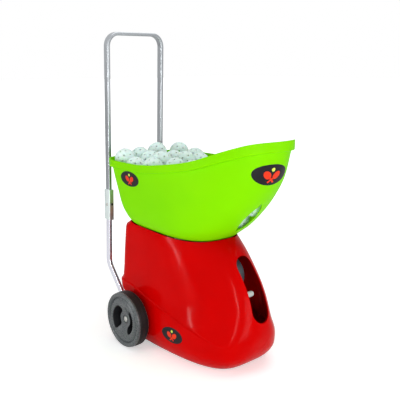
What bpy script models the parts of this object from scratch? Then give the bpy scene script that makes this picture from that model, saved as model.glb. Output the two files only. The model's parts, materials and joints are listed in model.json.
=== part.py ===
"""Wheeled ball thrower for pickleball: hopper on top, two throwing wheels behind a tall front slot,
a rear control panel, two carrying wheels and a handle that folds backwards.

Metres, +Z up, +X is the way the balls fly, +Y is the machine's left.
Everything is laid out from the wheel axle (X = 0, ground at Z = 0) under one parent empty,
which is moved along X so that the origin is the middle of the whole machine's footprint.
"""
import bmesh
import bpy
import numpy as np
from math import acos, atan2, cos, pi, radians, sin, tan
from mathutils import Matrix, Vector

GAP = 0.0003                    # air left between pieces that touch

# Carrying wheels
WHEEL_R = 0.1016
TYRE_IN_R = 0.0930
TYRE_HALF = 0.0165
WHEEL_MID_Y = 0.207
WHEEL_FACE_Y = 0.2145           # floor of the recess that the nut sits in
WHEEL_IN_Y = 0.186
AXLE_R = 0.00635
AXLE_HALF = 0.2175
HUB_BORE_R = 0.0067
OPENING_R_IN = 0.029            # the two swept pockets in each wheel's disc
OPENING_FLARE = ((0.0, 0.0585), (0.5, 0.0610), (1.0, 0.0635), (1.7, 0.0655))
OPENING_START = radians(-68)
OPENING_END = radians(48)
POCKET_BACK = 0.0125

# Moulded body
BODY_WALL = 0.004
BODY_BOTTOM = 0.003
BODY_TOP = 0.457
BODY_MID_X = -0.036             # where the half-oval front of each level begins
CREASE = ((-0.15, 0.222), (-0.06, 0.212), (0.038, 0.187), (0.191, 0.153), (0.299, 0.128), (0.385, 0.108),
          (0.50, 0.104))
BODY_REAR = ((0.003, -0.089), (0.03, -0.0930), (0.07, -0.0933), (0.12, -0.096), (0.155, -0.100), (0.168, -0.104),
             (0.174, -0.112), (0.180, -0.122), (0.190, -0.129), (0.205, -0.131), (0.216, -0.130),
             (0.223, -0.127), (0.230, -0.1225), (0.240, -0.1215), (0.26, -0.119), (0.335, -0.1145),
             (0.396, -0.109), (0.4165, -0.1072), (0.430, -0.102), (0.4377, -0.091), (0.445, -0.077),
             (0.457, -0.055))
BODY_NOSE = ((0.003, 0.388), (0.010, 0.402), (0.04, 0.438), (0.07, 0.457), (0.10, 0.468), (0.13, 0.476),
             (0.15, 0.478), (0.18, 0.475), (0.21, 0.470), (0.24, 0.463), (0.28, 0.447), (0.31, 0.428),
             (0.35, 0.396), (0.385, 0.364), (0.43, 0.310), (0.457, 0.270))
BODY_HALF = ((0.003, 0.138), (0.010, 0.149), (0.04, 0.166), (0.07, 0.175), (0.105, 0.178), (0.13, 0.175),
             (0.16, 0.166), (0.20, 0.159), (0.27, 0.156), (0.35, 0.1535), (0.41, 0.152), (0.44, 0.150),
             (0.45, 0.1475), (0.457, 0.141))
BODY_BLUNT = ((0.003, 3.6), (0.04, 3.6), (0.10, 3.0), (0.15, 2.5), (0.18, 2.3), (0.24, 2.1), (0.30, 2.0),
              (0.46, 2.0))
BODY_CORNER = 0.040
CREASE_RIDGE = 0.0035           # fades out where the sides turn into the nose
REAR_LIFT = 0.010               # the skirt's edge stands this much higher behind

# Front slot that the balls leave by
SLOT_HALF = 0.037               # at the foot; the slot narrows upwards
SLOT_TOP_HALF = 0.0345
SLOT_LOW = 0.178
SLOT_HIGH = 0.382

# Ball
BALL_R = 0.037

# Hopper
HOPPER_WALL = 0.0035
HOPPER_MID_X = 0.120
RIM_LOW = 0.668
RIM_BAND = 0.028
RIM_STEP = 0.011
RIM_RISE = ((-0.17, 0.004), (-0.06, 0.0), (0.04, 0.001), (0.10, 0.005), (0.163, 0.014), (0.256, 0.029),
            (0.32, 0.0435), (0.369, 0.0588), (0.41, 0.073), (0.454, 0.0872), (0.497, 0.100), (0.523, 0.105),
            (0.56, 0.109))
BAND_GROWTH = ((0.25, 0.0), (0.32, 0.001), (0.41, 0.004), (0.497, 0.006), (0.56, 0.006))
RISE_START = 0.466
WALL_TOP = RIM_LOW - RIM_BAND
HOPPER_REAR = ((0.412, 0.000), (0.416, -0.014), (0.424, -0.040), (0.440, -0.068), (0.466, -0.094),
               (0.507, -0.118), (0.549, -0.130), (0.596, -0.142), (0.640, -0.151))
HOPPER_NOSE = ((0.412, 0.252), (0.416, 0.271), (0.424, 0.290), (0.440, 0.312), (0.466, 0.349),
               (0.507, 0.406), (0.549, 0.463), (0.596, 0.512), (0.640, 0.533))
HOPPER_HALF = ((0.412, 0.080), (0.416, 0.100), (0.424, 0.122), (0.440, 0.144), (0.466, 0.157),
               (0.507, 0.165), (0.549, 0.169), (0.596, 0.174), (0.640, 0.179))
HOPPER_CORNER = 0.052
HOPPER_BLUNT = 2.22
THROAT_X = 0.112
THROAT_R = 0.100
BOWL_CLEARANCE = 0.0012
WINDOW_CENTRE = Vector((0.3965, 0.0, 0.5155))
WINDOW_SLOPE = radians(45)
WINDOW_HALF_LENGTH = 0.083
WINDOW_HALF_WIDTH = 0.0265

# Folding handle: flat aluminium tube
TUBE_X = 0.0127                 # half depth
TUBE_Y = 0.00635                # half width
TUBE_WALL = 0.0016
POST_Y = 0.123
PIN_X = -0.2318
PIN_Z = 0.475
LEAN = radians(1.8)
HANDLE_TOP = 1.118
HANDLE_CORNER = 0.051
CHANNEL_LOW = 0.415
CHANNEL_HIGH = 0.535
CHANNEL_WALL = 0.0026
WEB_GAP = 0.0037
BUTTON_R = 0.0036
BUTTON_TRAVEL = 0.003
LOWER_TUBE_TOP = 0.447
LOWER_BEND = Vector((-0.243, 0.0, 0.238))
LOWER_END = Vector((-0.1095, 0.0, 0.022))
LOWER_KNEE = Vector((-0.1095, 0.0, 0.074))

# Throwing head
NIP_PIVOT = Vector((0.225, 0.0, 0.215))
HEAD_REACH = 0.080
THROW_R = 0.060
THROW_HALF_GAP = 0.031
THROW_HALF_WIDTH = 0.020
HEAD_PLATE_Y = -0.034
HEAD_PLATE = 0.004
GEAR_MODULE = 0.002
SECTOR_TEETH = 72
PINION_TEETH = 12
GEAR_Y = 0.055
GEAR_WIDTH = 0.006

# Feed
DECK_LOW = 0.398
DECK_HIGH = 0.404
FEED_R = 0.094
POCKET_R = 0.0395
POCKET_AT = 0.057
DROP_X = THROAT_X - POCKET_AT
FEED_SHAFT_R = 0.005

# Rear control panel, in the plane of the sloping rear wall
PANEL_CENTRE = Vector((-0.1155, 0.0, 0.310))
PANEL_SLOPE = radians(4.0)
PANEL_HALF = (0.086, 0.070)
PANEL_THICK = 0.004

# Furthest points ahead and behind, which the origin lies midway between
HOPPER_TIP = HOPPER_NOSE[-1][1] + RIM_STEP + 0.0006
HANDLE_BACK = -0.2548
ORIGIN_SHIFT = -(HOPPER_TIP + HANDLE_BACK) / 2


def smooth(table, at):
    """Monotone curve through the (position, value) pairs of a table."""
    xs = [p[0] for p in table]
    ys = [p[1] for p in table]
    if at <= xs[0]:
        return ys[0]
    if at >= xs[-1]:
        return ys[-1]
    steps = [(ys[i + 1] - ys[i]) / (xs[i + 1] - xs[i]) for i in range(len(xs) - 1)]
    slopes = [steps[0]]
    for before, after in zip(steps, steps[1:]):
        slopes.append(0.0 if before * after <= 0 else 2 * before * after / (before + after))
    slopes.append(steps[-1])
    i = max(k for k in range(len(xs) - 1) if xs[k] <= at)
    width = xs[i + 1] - xs[i]
    t = (at - xs[i]) / width
    return ((2 * t**3 - 3 * t**2 + 1) * ys[i] + (t**3 - 2 * t**2 + t) * width * slopes[i]
            + (3 * t**2 - 2 * t**3) * ys[i + 1] + (t**3 - t**2) * width * slopes[i + 1])


# Materials

def material(name, colour, rough, metal=0.0):
    made = bpy.data.materials.new(name)
    made.use_nodes = True
    shader = made.node_tree.nodes["Principled BSDF"]
    shader.inputs["Base Color"].default_value = (*colour, 1.0)
    shader.inputs["Roughness"].default_value = rough
    shader.inputs["Metallic"].default_value = metal
    return made


def make_materials():
    return {
        "body": material("red_polyethylene", (0.68, 0.004, 0.004), 0.25),
        "hopper": material("lime_polyethylene", (0.22, 0.87, 0.0), 0.4),
        "aluminium": material("brushed_aluminium", (0.60, 0.61, 0.62), 0.35, 1.0),
        "steel": material("zinc_plated_steel", (0.55, 0.55, 0.54), 0.35, 1.0),
        "channel": material("anodised_channel", (0.60, 0.64, 0.63), 0.4, 1.0),
        "sleeve": material("grey_nylon", (0.45, 0.50, 0.49), 0.5),
        "hub": material("grey_polypropylene", (0.12, 0.13, 0.135), 0.5),
        "rubber": material("black_rubber", (0.012, 0.012, 0.014), 0.7),
        "throw": material("throw_wheel_urethane", (0.03, 0.032, 0.035), 0.55),
        "black": material("black_abs", (0.015, 0.015, 0.017), 0.45),
        "motor": material("motor_steel", (0.30, 0.30, 0.31), 0.4, 1.0),
        "board": material("green_board", (0.01, 0.12, 0.04), 0.5),
        "ball": material("mint_ball", (0.80, 0.95, 0.86), 0.45),
        "white": material("white_acetal", (0.75, 0.75, 0.72), 0.4),
    }


# Building helpers

def place(obj, parent=None, location=None, rotation=None):
    obj.parent = parent
    if location is not None:
        obj.location = location
    if rotation is not None:
        obj.rotation_euler = rotation
    return obj


def finish_mesh(name, bm, mat, parent, location=None, rotation=None, round_angle=radians(35)):
    bmesh.ops.recalc_face_normals(bm, faces=bm.faces)
    mesh = bpy.data.meshes.new(name)
    bm.to_mesh(mesh)
    bm.free()
    mesh.shade_smooth()
    mesh.set_sharp_from_angle(angle=round_angle)
    obj = bpy.data.objects.new(name, mesh)
    bpy.context.scene.collection.objects.link(obj)
    if mat is not None:
        mesh.materials.append(mat)
    return place(obj, parent, location, rotation)


def hide_helper(obj):
    obj.hide_render = True
    obj.display_type = 'WIRE'
    return obj


def boolean(obj, other, operation):
    tool = obj.modifiers.new(operation.lower(), 'BOOLEAN')
    tool.operation = operation
    tool.object = hide_helper(other)
    return obj


def cut(obj, *cutters):
    for cutter in cutters:
        boolean(obj, cutter, 'DIFFERENCE')
    return obj


def fuse(obj, *others):
    for other in others:
        boolean(obj, other, 'UNION')
    return obj


def bevel(obj, width, segments=2, angle=radians(40)):
    edge = obj.modifiers.new("edge", 'BEVEL')
    edge.width = width
    edge.segments = segments
    edge.limit_method = 'ANGLE'
    edge.angle_limit = angle
    return obj


def box(name, low, high, mat, parent):
    bm = bmesh.new()
    bmesh.ops.create_cube(bm, size=1.0)
    middle = (Vector(low) + Vector(high)) / 2
    size = Vector(high) - Vector(low)
    for v in bm.verts:
        v.co = Vector((v.co.x * size.x, v.co.y * size.y, v.co.z * size.z)) + middle
    return finish_mesh(name, bm, mat, parent)


def prism(name, outline, low, high, mat, parent, axis='Z', location=None, rotation=None):
    """A flat outline of (a, b) points extruded from low to high along an axis."""
    def point(a, b, c):
        if axis == 'Z':
            return (a, b, c)
        if axis == 'Y':
            return (a, c, b)
        return (c, a, b)
    bm = bmesh.new()
    floor = bm.faces.new([bm.verts.new(point(a, b, low)) for a, b in outline])
    grown = bmesh.ops.extrude_face_region(bm, geom=[floor])
    lift = Vector(point(0, 0, high)) - Vector(point(0, 0, low))
    bmesh.ops.translate(bm, vec=lift, verts=[g for g in grown["geom"] if isinstance(g, bmesh.types.BMVert)])
    return finish_mesh(name, bm, mat, parent, location, rotation)


def turned(name, profile, steps, mat, parent, axis='Z', location=None, rotation=None):
    """A closed (radius, height) profile turned about an axis; it may touch the axis at both ends."""
    start = -pi / 2
    rings = []
    bm = bmesh.new()
    for r, h in profile:
        count = 1 if r < 1e-7 else steps
        ring = []
        for k in range(count):
            a = start + 2 * pi * k / steps
            p = {'Z': (r * cos(a), r * sin(a), h), 'Y': (r * cos(a), h, r * sin(a)),
                 'X': (h, r * cos(a), r * sin(a))}[axis]
            ring.append(bm.verts.new(p))
        rings.append(ring)
    closed = profile[0][0] > 1e-7
    pairs = list(zip(rings, rings[1:] + rings[:1])) if closed else list(zip(rings, rings[1:]))
    for one, two in pairs:
        for k in range(steps):
            corners = [one[k % len(one)], one[(k + 1) % len(one)], two[(k + 1) % len(two)], two[k % len(two)]]
            corners = list(dict.fromkeys(corners))
            if len(corners) > 2:
                bm.faces.new(corners)
    return finish_mesh(name, bm, mat, parent, location, rotation)


def cylinder(name, radius, low, high, steps, mat, parent, axis='Z', location=None, rotation=None):
    profile = ((0.0, low), (radius, low), (radius, high), (0.0, high))
    return turned(name, profile, steps, mat, parent, axis, location, rotation)


def arc(centre, radius, start, end, steps):
    return [(centre[0] + radius * cos(start + (end - start) * k / steps),
             centre[1] + radius * sin(start + (end - start) * k / steps)) for k in range(steps + 1)]


def walled(name, outer, inner, closed_top, mat, parent):
    """A wall between outer and inner rows of points, joined at the first row and at the last, or capped."""
    bm = bmesh.new()
    skins = [[[bm.verts.new(p) for p in row] for row in rows] for rows in (outer, inner)]
    count = len(outer[0])

    def band(one, two):
        for k in range(count):
            j = (k + 1) % count
            bm.faces.new((one[k], one[j], two[j], two[k]))
    for rings in skins:
        for one, two in zip(rings, rings[1:]):
            band(one, two)
    band(skins[0][0], skins[1][0])
    if closed_top:
        for rings in skins:
            top = bm.verts.new(sum((v.co for v in rings[-1]), Vector()) / count)
            for k in range(count):
                bm.faces.new((rings[-1][k], rings[-1][(k + 1) % count], top))
    else:
        band(skins[0][-1], skins[1][-1])
    return finish_mesh(name, bm, mat, parent)


def solid_skin(name, rows, mat, parent):
    """Rows of points closed at both ends."""
    bm = bmesh.new()
    rings = [[bm.verts.new(p) for p in row] for row in rows]
    count = len(rings[0])
    for one, two in zip(rings, rings[1:]):
        for k in range(count):
            j = (k + 1) % count
            bm.faces.new((one[k], one[j], two[j], two[k]))
    for ring in (rings[0], rings[-1]):
        end = bm.verts.new(sum((v.co for v in ring), Vector()) / count)
        for k in range(count):
            bm.faces.new((ring[k], ring[(k + 1) % count], end))
    return finish_mesh(name, bm, mat, parent)


# Plan outlines

def half_outline(rear, nose, half, corner, middle, blunt, front_steps, side_steps):
    """From the middle of the rear round the +Y side to the nose, as (x, y) pairs."""
    corner = min(corner, 0.9 * (middle - rear))
    points = [(rear, 0.0), (rear, (half - corner) * 0.55), (rear, half - corner)]
    for k in range(1, 5):
        a = k * pi / 8
        points.append((rear + corner - corner * cos(a), half - corner + corner * sin(a)))
    for k in range(1, side_steps):
        points.append((rear + corner + (middle - rear - corner) * k / side_steps, half))
    reach = nose - middle
    for k in range(front_steps + 1):
        a = k * pi / 2 / front_steps
        s, c = sin(a), max(cos(a), 0.0)
        rho = (s**blunt + c**blunt) ** (-1 / blunt)
        points.append((middle + reach * rho * s, half * rho * c if k < front_steps else 0.0))
    return points


def full_outline(half):
    return half + [(x, -y) for x, y in reversed(half[1:-1])]


def body_outline(z, inset=0.0):
    rear, nose, half = (smooth(table, z) for table in (BODY_REAR, BODY_NOSE, BODY_HALF))
    return half_outline(rear + inset, nose - inset, half - inset, BODY_CORNER - min(inset, 0.02), BODY_MID_X,
                        smooth(BODY_BLUNT, z), 11, 1)


def hopper_outline(level, inset=0.0):
    return half_outline(smooth(HOPPER_REAR, level) + inset, smooth(HOPPER_NOSE, level) - inset,
                        smooth(HOPPER_HALF, level) - inset, HOPPER_CORNER - min(inset, 0.02), HOPPER_MID_X,
                        HOPPER_BLUNT, 10, 2)


def rim_lift(level, x):
    """How far the rising rim lifts a level of the hopper at x."""
    if level <= RISE_START:
        return 0.0
    share = min(1.0, (level - RISE_START) / (WALL_TOP - RISE_START))
    return smooth(RIM_RISE, x) * share**1.3


# Body

def body_shell(m, parent):
    reference = body_outline(0.15)
    crease = [smooth(CREASE, x) for x, _ in reference]

    def row(share, upper, ridge, inset):
        half = []
        for k, at_crease in enumerate(crease):
            bottom = BODY_BOTTOM + REAR_LIFT * smooth(((0.085, 1.0), (0.105, 0.0)), reference[k][0])
            low, high = (at_crease, BODY_TOP - inset) if upper else (bottom, at_crease)
            z = low + (high - low) * share
            x, y = body_outline(z, inset)[k]
            rise = ridge * smooth(((0.34, 1.0), (0.43, 0.0)), x)
            x = BODY_MID_X + (x - BODY_MID_X) * (1 + rise / (smooth(BODY_NOSE, z) - BODY_MID_X))
            half.append((x, y * (1 + rise / smooth(BODY_HALF, z)), z))
        return [Vector(p) for p in half] + [Vector((x, -y, z)) for x, y, z in reversed(half[1:-1])]

    def rows(below, above, ridge, inset):
        return ([row(share, False, 0.0, inset) for share in below] + [row(1.0, False, ridge, inset)]
                + [row(share, True, 0.0, inset) for share in above])
    outside = rows((0.0, 0.07, 0.25, 0.5, 0.68, 0.76, 0.81, 0.87, 0.93, 0.97),
                   (0.025, 0.06, 0.11, 0.26, 0.44, 0.62, 0.78, 0.88, 0.93, 0.965, 1.0), CREASE_RIDGE, 0.0)
    inside = rows((0.0, 0.07, 0.25, 0.5, 0.68, 0.76, 0.81, 0.87, 0.93),
                  (0.06, 0.11, 0.26, 0.5, 0.75, 0.88, 0.94, 1.0), 0.0, BODY_WALL)
    shell = walled("body_shell", outside, inside, True, m["body"], parent)

    bowl = hopper_bowl("bowl_clearance", parent, BOWL_CLEARANCE)
    slot = prism("slot_cutter", arc((0.0, SLOT_HIGH - SLOT_TOP_HALF), SLOT_TOP_HALF, 0.0, pi, 12)
                 + arc((0.0, SLOT_LOW + SLOT_HALF), SLOT_HALF, pi, 2 * pi, 12), 0.27, 0.56, None, parent, 'X')
    axle = cylinder("axle_cutter", AXLE_R + 0.0012, -0.2, 0.2, 20, None, parent, 'Y', (0, 0, WHEEL_R))
    window = box("panel_cutter", (-0.070, -0.056, -0.03), (0.070, 0.056, 0.03), None, parent)
    window.matrix_local = panel_matrix()
    return cut(shell, bowl, slot, axle, window)


def base_pan(m, parent):
    low, high, lip = 0.0082, 0.0115, 0.022
    outer = full_outline(body_outline(0.010, 0.011))
    inner = full_outline(body_outline(0.010, 0.015))
    rows = [[Vector((x, y, z)) for x, y in outline]
            for outline, z in ((outer, low), (outer, lip), (inner, lip), (inner, high))]
    return solid_skin("base_pan", rows, m["black"], parent)


def feet(m, parent):
    profile = ((0.0, 0.0), (0.015, 0.0), (0.017, 0.002), (0.017, 0.0079), (0.0, 0.0079))
    for side, y in (("left", 0.085), ("right", -0.085)):
        turned(f"front_foot_{side}", profile, 20, m["rubber"], parent, 'Z', (0.325, y, 0.0))


# Hopper

HOPPER_LEVELS = (0.412, 0.416, 0.424, 0.438, 0.460, 0.495, 0.540, 0.590, 0.640)
HOPPER_INNER_LEVELS = (0.412, 0.424, 0.442, 0.478, 0.530, 0.590, 0.640)


def hopper_rows(inset=0.0, rise=0.0, top=True, levels=HOPPER_LEVELS):
    """Rows up the hopper wall, then out and up round the rim band."""
    rows = []
    for level in levels:
        lift = rise * max(0.0, 1 - (level - levels[0]) / 0.06)
        rows.append([Vector((x, y, level + lift + rim_lift(level, x)))
                     for x, y in full_outline(hopper_outline(level, inset))])
    if top:
        step = WALL_TOP + (0.0035 if inset > 0 else 0.0015)
        for out, z, growth in ((RIM_STEP, step, 0.0), (RIM_STEP + 0.0006, RIM_LOW, 1.0)):
            rows.append([Vector((x, y, z + rim_lift(WALL_TOP, x) + growth * smooth(BAND_GROWTH, x)))
                         for x, y in full_outline(hopper_outline(WALL_TOP, inset - out))])
    return rows


def hopper_level_at(z, x):
    """The hopper level that stands at height z at x."""
    level = z
    for _ in range(12):
        level = z - rim_lift(level, x)
    return level


def hopper_bowl(name, parent, clearance):
    """The hopper's outer form as a solid, grown by a clearance all round."""
    rows = hopper_rows(-clearance, top=False)
    for row in rows:
        for p in row:
            p.z -= clearance
    return solid_skin(name, rows, None, parent)


def hopper(m, parent):
    inside = hopper_rows(HOPPER_WALL, HOPPER_WALL, levels=HOPPER_INNER_LEVELS)
    bowl = walled("hopper", hopper_rows(), inside, False, m["hopper"], parent)
    throat = cylinder("throat_cutter", THROAT_R, 0.38, 0.47, 48, None, parent, 'Z', (THROAT_X, 0, 0))
    bend = (WINDOW_HALF_LENGTH**2 + WINDOW_HALF_WIDTH**2) / (2 * WINDOW_HALF_WIDTH)
    reach = atan2(WINDOW_HALF_LENGTH, bend - WINDOW_HALF_WIDTH)
    lens = (arc((0.0, WINDOW_HALF_WIDTH - bend), bend, pi / 2 - reach, pi / 2 + reach, 10)[:-1]
            + arc((0.0, bend - WINDOW_HALF_WIDTH), bend, -pi / 2 - reach, -pi / 2 + reach, 10)[:-1])
    window = prism("window_cutter", lens, -0.05, 0.06, None, parent, 'Z', WINDOW_CENTRE,
                   (0, -WINDOW_SLOPE, 0))
    return cut(bowl, throat, window)


# Balls at the top of the heap and two that show in the window, placed by hand
HEAP = ((-0.099, -0.134, 0.669), (-0.108, -0.060, 0.667), (-0.106, 0.018, 0.678), (-0.106, 0.125, 0.671),
        (-0.022, 0.134, 0.656), (-0.035, -0.067, 0.662), (0.038, -0.072, 0.668), (-0.036, 0.042, 0.653),
        (0.059, 0.018, 0.662), (0.053, 0.094, 0.648), (-0.030, -0.137, 0.646), (0.066, -0.134, 0.654),
        (0.114, -0.072, 0.653), (0.120, 0.060, 0.640), (0.128, -0.004, 0.640), (0.190, -0.050, 0.630),
        (0.190, 0.040, 0.628))
WINDOW_BALLS = ((0.3660, 0.0480, 0.5470), (0.312, 0.042, 0.496))


LOAD_LOW = 0.452
LOAD_CLEARANCE = 0.009


def ball_load(m, parent):
    """The balls in the hopper: the lower layers are one plain solid, the top ones show as balls."""
    def top_at(x):
        return smooth(((-0.15, 0.655), (0.10, 0.645), (0.22, 0.618), (0.34, 0.585), (0.45, 0.545)), x)
    rows = []
    for share in (0.0, 0.2, 0.55, 1.0):
        row = []
        for k, (x, _) in enumerate(full_outline(hopper_outline(0.50))):
            z = LOAD_LOW + (top_at(x) - LOAD_LOW) * share
            inset = LOAD_CLEARANCE + HOPPER_WALL
            x, y = full_outline(hopper_outline(hopper_level_at(z, x), inset))[k]
            row.append(Vector((x, y, z)))
        rows.append(row)
    load = solid_skin("ball_load", rows, m["ball"], parent)
    for number, centre in enumerate(HEAP + WINDOW_BALLS):
        bm = bmesh.new()
        bmesh.ops.create_uvsphere(bm, u_segments=10, v_segments=6, radius=BALL_R)
        fuse(load, finish_mesh(f"ball_form_{number:02d}", bm, None, parent, centre))
    return load


# Feed

def feed_deck(m, parent):
    outline = full_outline(body_outline(DECK_HIGH, BODY_WALL + 0.003))
    deck = prism("feed_deck", outline, DECK_LOW, DECK_HIGH, m["black"], parent)
    drop = cylinder("drop_cutter", BALL_R + 0.003, 0.38, 0.42, 32, None, parent, 'Z', (DROP_X, 0, 0))
    shaft = cylinder("shaft_cutter", FEED_SHAFT_R + 0.001, 0.38, 0.42, 16, None, parent, 'Z', (THROAT_X, 0, 0))
    return cut(deck, drop, shaft)


def feed_wheel(m, parent):
    """Four open pockets between four broad arms."""
    half_mouth = acos((POCKET_AT**2 + FEED_R**2 - POCKET_R**2) / (2 * POCKET_AT * FEED_R))
    outline = []
    for pocket in range(4):
        turn = pi + pocket * pi / 2
        centre = (POCKET_AT * cos(turn), POCKET_AT * sin(turn))
        start = (FEED_R * cos(turn - half_mouth), FEED_R * sin(turn - half_mouth))
        lean = atan2(start[1] - centre[1], start[0] - centre[0])
        sweep = 2 * pi - 2 * ((turn - lean + pi) % (2 * pi) - pi)
        outline += arc(centre, POCKET_R, lean, lean - sweep, 12)
        outline += arc((0, 0), FEED_R, turn + half_mouth, turn + pi / 2 - half_mouth, 6)[1:-1]
    wheel = prism("feed_wheel", outline, 0.4075, 0.434, m["white"], parent, 'Z', (THROAT_X, 0, 0))
    bore = cylinder("feed_bore", FEED_SHAFT_R + GAP, 0.38, 0.46, 16, None, parent, 'Z', (THROAT_X, 0, 0))
    return cut(wheel, bore)


def feed_drive(m, parent):
    cylinder("feed_shaft", FEED_SHAFT_R, 0.3975, 0.437, 16, m["steel"], parent, 'Z', (THROAT_X, 0, 0))
    gearbox = bevel(box("feed_motor", (0.102, -0.014, 0.379), (0.176, 0.086, 0.397), m["motor"], parent), 0.003)
    can = cylinder("feed_motor_can", 0.020, 0.322, 0.385, 24, None, parent, 'Z', (0.153, 0.064, 0))
    return fuse(gearbox, can)


def swept_tube(name, path, radius, wall, steps, mat, parent):
    """Round tube along points of the XZ plane, open at both ends; radius may vary per point."""
    points = [Vector(p) for p in path]
    outer, inner = [], []
    for k, p in enumerate(points):
        ahead = points[min(k + 1, len(points) - 1)] - p
        behind = p - points[max(k - 1, 0)]
        along = (ahead.normalized() + behind.normalized()).normalized()
        side = Vector((0, 1, 0))
        up = along.cross(side)
        r = radius[k] if isinstance(radius, (list, tuple)) else radius
        bore = min(radius) if isinstance(radius, (list, tuple)) else radius
        angles = (2 * pi * i / steps for i in range(steps))
        ring = [side * cos(a) + up * sin(a) for a in angles]
        outer.append([p + d * r for d in ring])
        inner.append([p + d * (bore - wall) for d in ring])
    bm = bmesh.new()
    rings = [[bm.verts.new(q) for q in row] for row in outer + inner[::-1]]
    for one, two in zip(rings, rings[1:] + rings[:1]):
        for i in range(steps):
            j = (i + 1) % steps
            bm.faces.new((one[i], one[j], two[j], two[i]))
    return finish_mesh(name, bm, mat, parent)


def ball_chute(m, parent):
    top = DECK_LOW - GAP * 2
    path = [(DROP_X, 0, top), (DROP_X, 0, top - 0.006), (DROP_X, 0, top - 0.0061), (DROP_X, 0, 0.345)]
    bend_centre = (DROP_X + 0.075, 0.345)
    for k in range(1, 6):
        a = pi + radians(52) * k / 5
        path.append((bend_centre[0] + 0.075 * cos(a), 0, bend_centre[1] + 0.075 * sin(a)))
    last = Vector(path[-1])
    heading = Vector((sin(radians(52)), 0, -cos(radians(52))))
    path.append(last + heading * 0.10)
    radii = [0.046, 0.046] + [0.0425] * (len(path) - 2)
    chute = swept_tube("ball_chute", path, radii, 0.0025, 16, m["black"], parent)
    mouth = box("chute_cutter", (0.184, -0.06, 0.10), (0.30, 0.06, 0.32), None, parent)
    return cut(chute, mouth)


# Throwing head: built with the nip level, then tilted about NIP_PIVOT

def throw_centre(sign):
    return NIP_PIVOT + Vector((HEAD_REACH, 0.0, sign * (THROW_R + THROW_HALF_GAP)))


def head_frame(m, parent):
    """A right side plate that carries both motors, a ball ramp and a left ear."""
    x0, z0 = NIP_PIVOT.x, NIP_PIVOT.z
    reach, spread = HEAD_REACH, THROW_R + THROW_HALF_GAP
    x1 = x0 + reach
    right = [(x0 - 0.020, z0 - 0.045), (x1 - 0.030, z0 - spread - 0.026), (x1 + 0.026, z0 - spread - 0.026),
             (x1 + 0.030, z0 - 0.030), (x1 + 0.034, z0 + 0.058), (x1 + 0.026, z0 + spread + 0.026),
             (x1 - 0.030, z0 + spread + 0.026), (x0 - 0.020, z0 + 0.024)]
    arm = [(x1 - 0.012, z0 - 0.026), (x1 + 0.032, z0 - 0.026), (x1 + 0.122, z0 + 0.026), (x1 + 0.122, z0 + 0.046),
           (x1 + 0.116, z0 + 0.057), (x1 - 0.012, z0 + 0.057)]
    left = [(x0 - 0.020, z0 - 0.045), (x0 + 0.036, z0 - 0.045), (x0 + 0.036, z0 - 0.020),
            (x0 + 0.020, z0 + 0.022), (x0 - 0.018, z0 + 0.022)]
    y = HEAD_PLATE_Y
    frame = prism("head_frame", right, y, y + HEAD_PLATE, m["motor"], parent, 'Y')
    ear = prism("head_ear", left, -y - HEAD_PLATE, -y, None, parent, 'Y')
    ramp = box("head_ramp", (x0 - 0.018, y + 0.001, z0 - 0.0445), (x0 + 0.034, -y - 0.001, z0 - 0.0405),
               None, parent)
    reach_arm = prism("head_arm", arm, y + HEAD_PLATE - 0.0005, y + 2 * HEAD_PLATE - 0.0005, None, parent, 'Y')
    fuse(frame, ear, ramp, reach_arm)
    holes = [cylinder("pivot_cutter", 0.0062, -0.05, 0.05, 20, None, parent, 'Y', (x0, 0, z0))]
    for sign in (1, -1):
        c = throw_centre(sign)
        holes.append(cylinder("motor_cutter", 0.0062, -0.05, 0.0, 20, None, parent, 'Y', (c.x, 0, c.z)))
    holes.append(cylinder("post_cutter", 0.0042, -0.05, 0.0, 12, None, parent, 'Y',
                          (x1 + 0.110, 0, z0 + 0.048)))
    return cut(frame, *holes)


def throw_pieces(m, parent):
    wide, rim = THROW_HALF_WIDTH, THROW_HALF_WIDTH - 0.001
    tyre = ((0.0520, -wide), (THROW_R - 0.002, -wide), (THROW_R, -wide + 0.002), (THROW_R, wide - 0.002),
            (THROW_R - 0.002, wide), (0.0520, wide))
    hub = ((0.0, -0.0375), (0.0055, -0.0375), (0.0055, -0.022), (0.014, -0.022), (0.014, -0.006),
           (0.044, -0.006), (0.044, -rim), (0.0514, -rim), (0.0514, rim), (0.046, rim), (0.044, 0.002),
           (0.012, 0.002), (0.012, 0.014), (0.0, 0.014))
    can = ((0.0, -0.078), (0.006, -0.078), (0.006, -0.074), (0.0215, -0.074), (0.0215, -0.0385),
           (0.0195, -0.0345), (0.0075, -0.0345), (0.0075, -0.0385), (0.0, -0.0385))
    for name, sign in (("upper", 1), ("lower", -1)):
        c = throw_centre(sign)
        turned(f"throw_tyre_{name}", tyre, 32, m["throw"], parent, 'Y', c)
        turned(f"throw_hub_{name}", hub, 16, m["aluminium"], parent, 'Y', c)
        turned(f"throw_motor_{name}", can, 18, m["motor"], parent, 'Y', c)


def nip_guide(m, parent):
    """Rounded grey guide post beside the ball's path, on the right plate."""
    at = (NIP_PIVOT.x + HEAD_REACH + 0.110, 0, NIP_PIVOT.z + 0.048)
    profile = ((0.0, -0.0325), (0.0065, -0.0325), (0.0065, -0.0308), (0.0039, -0.0308), (0.0039, -0.0262),
               (0.0095, -0.0262), (0.0095, 0.0015), (0.0080, 0.0055), (0.0045, 0.0076), (0.0, 0.008))
    return turned("nip_guide", profile, 16, m["sleeve"], parent, 'Y', at)


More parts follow.
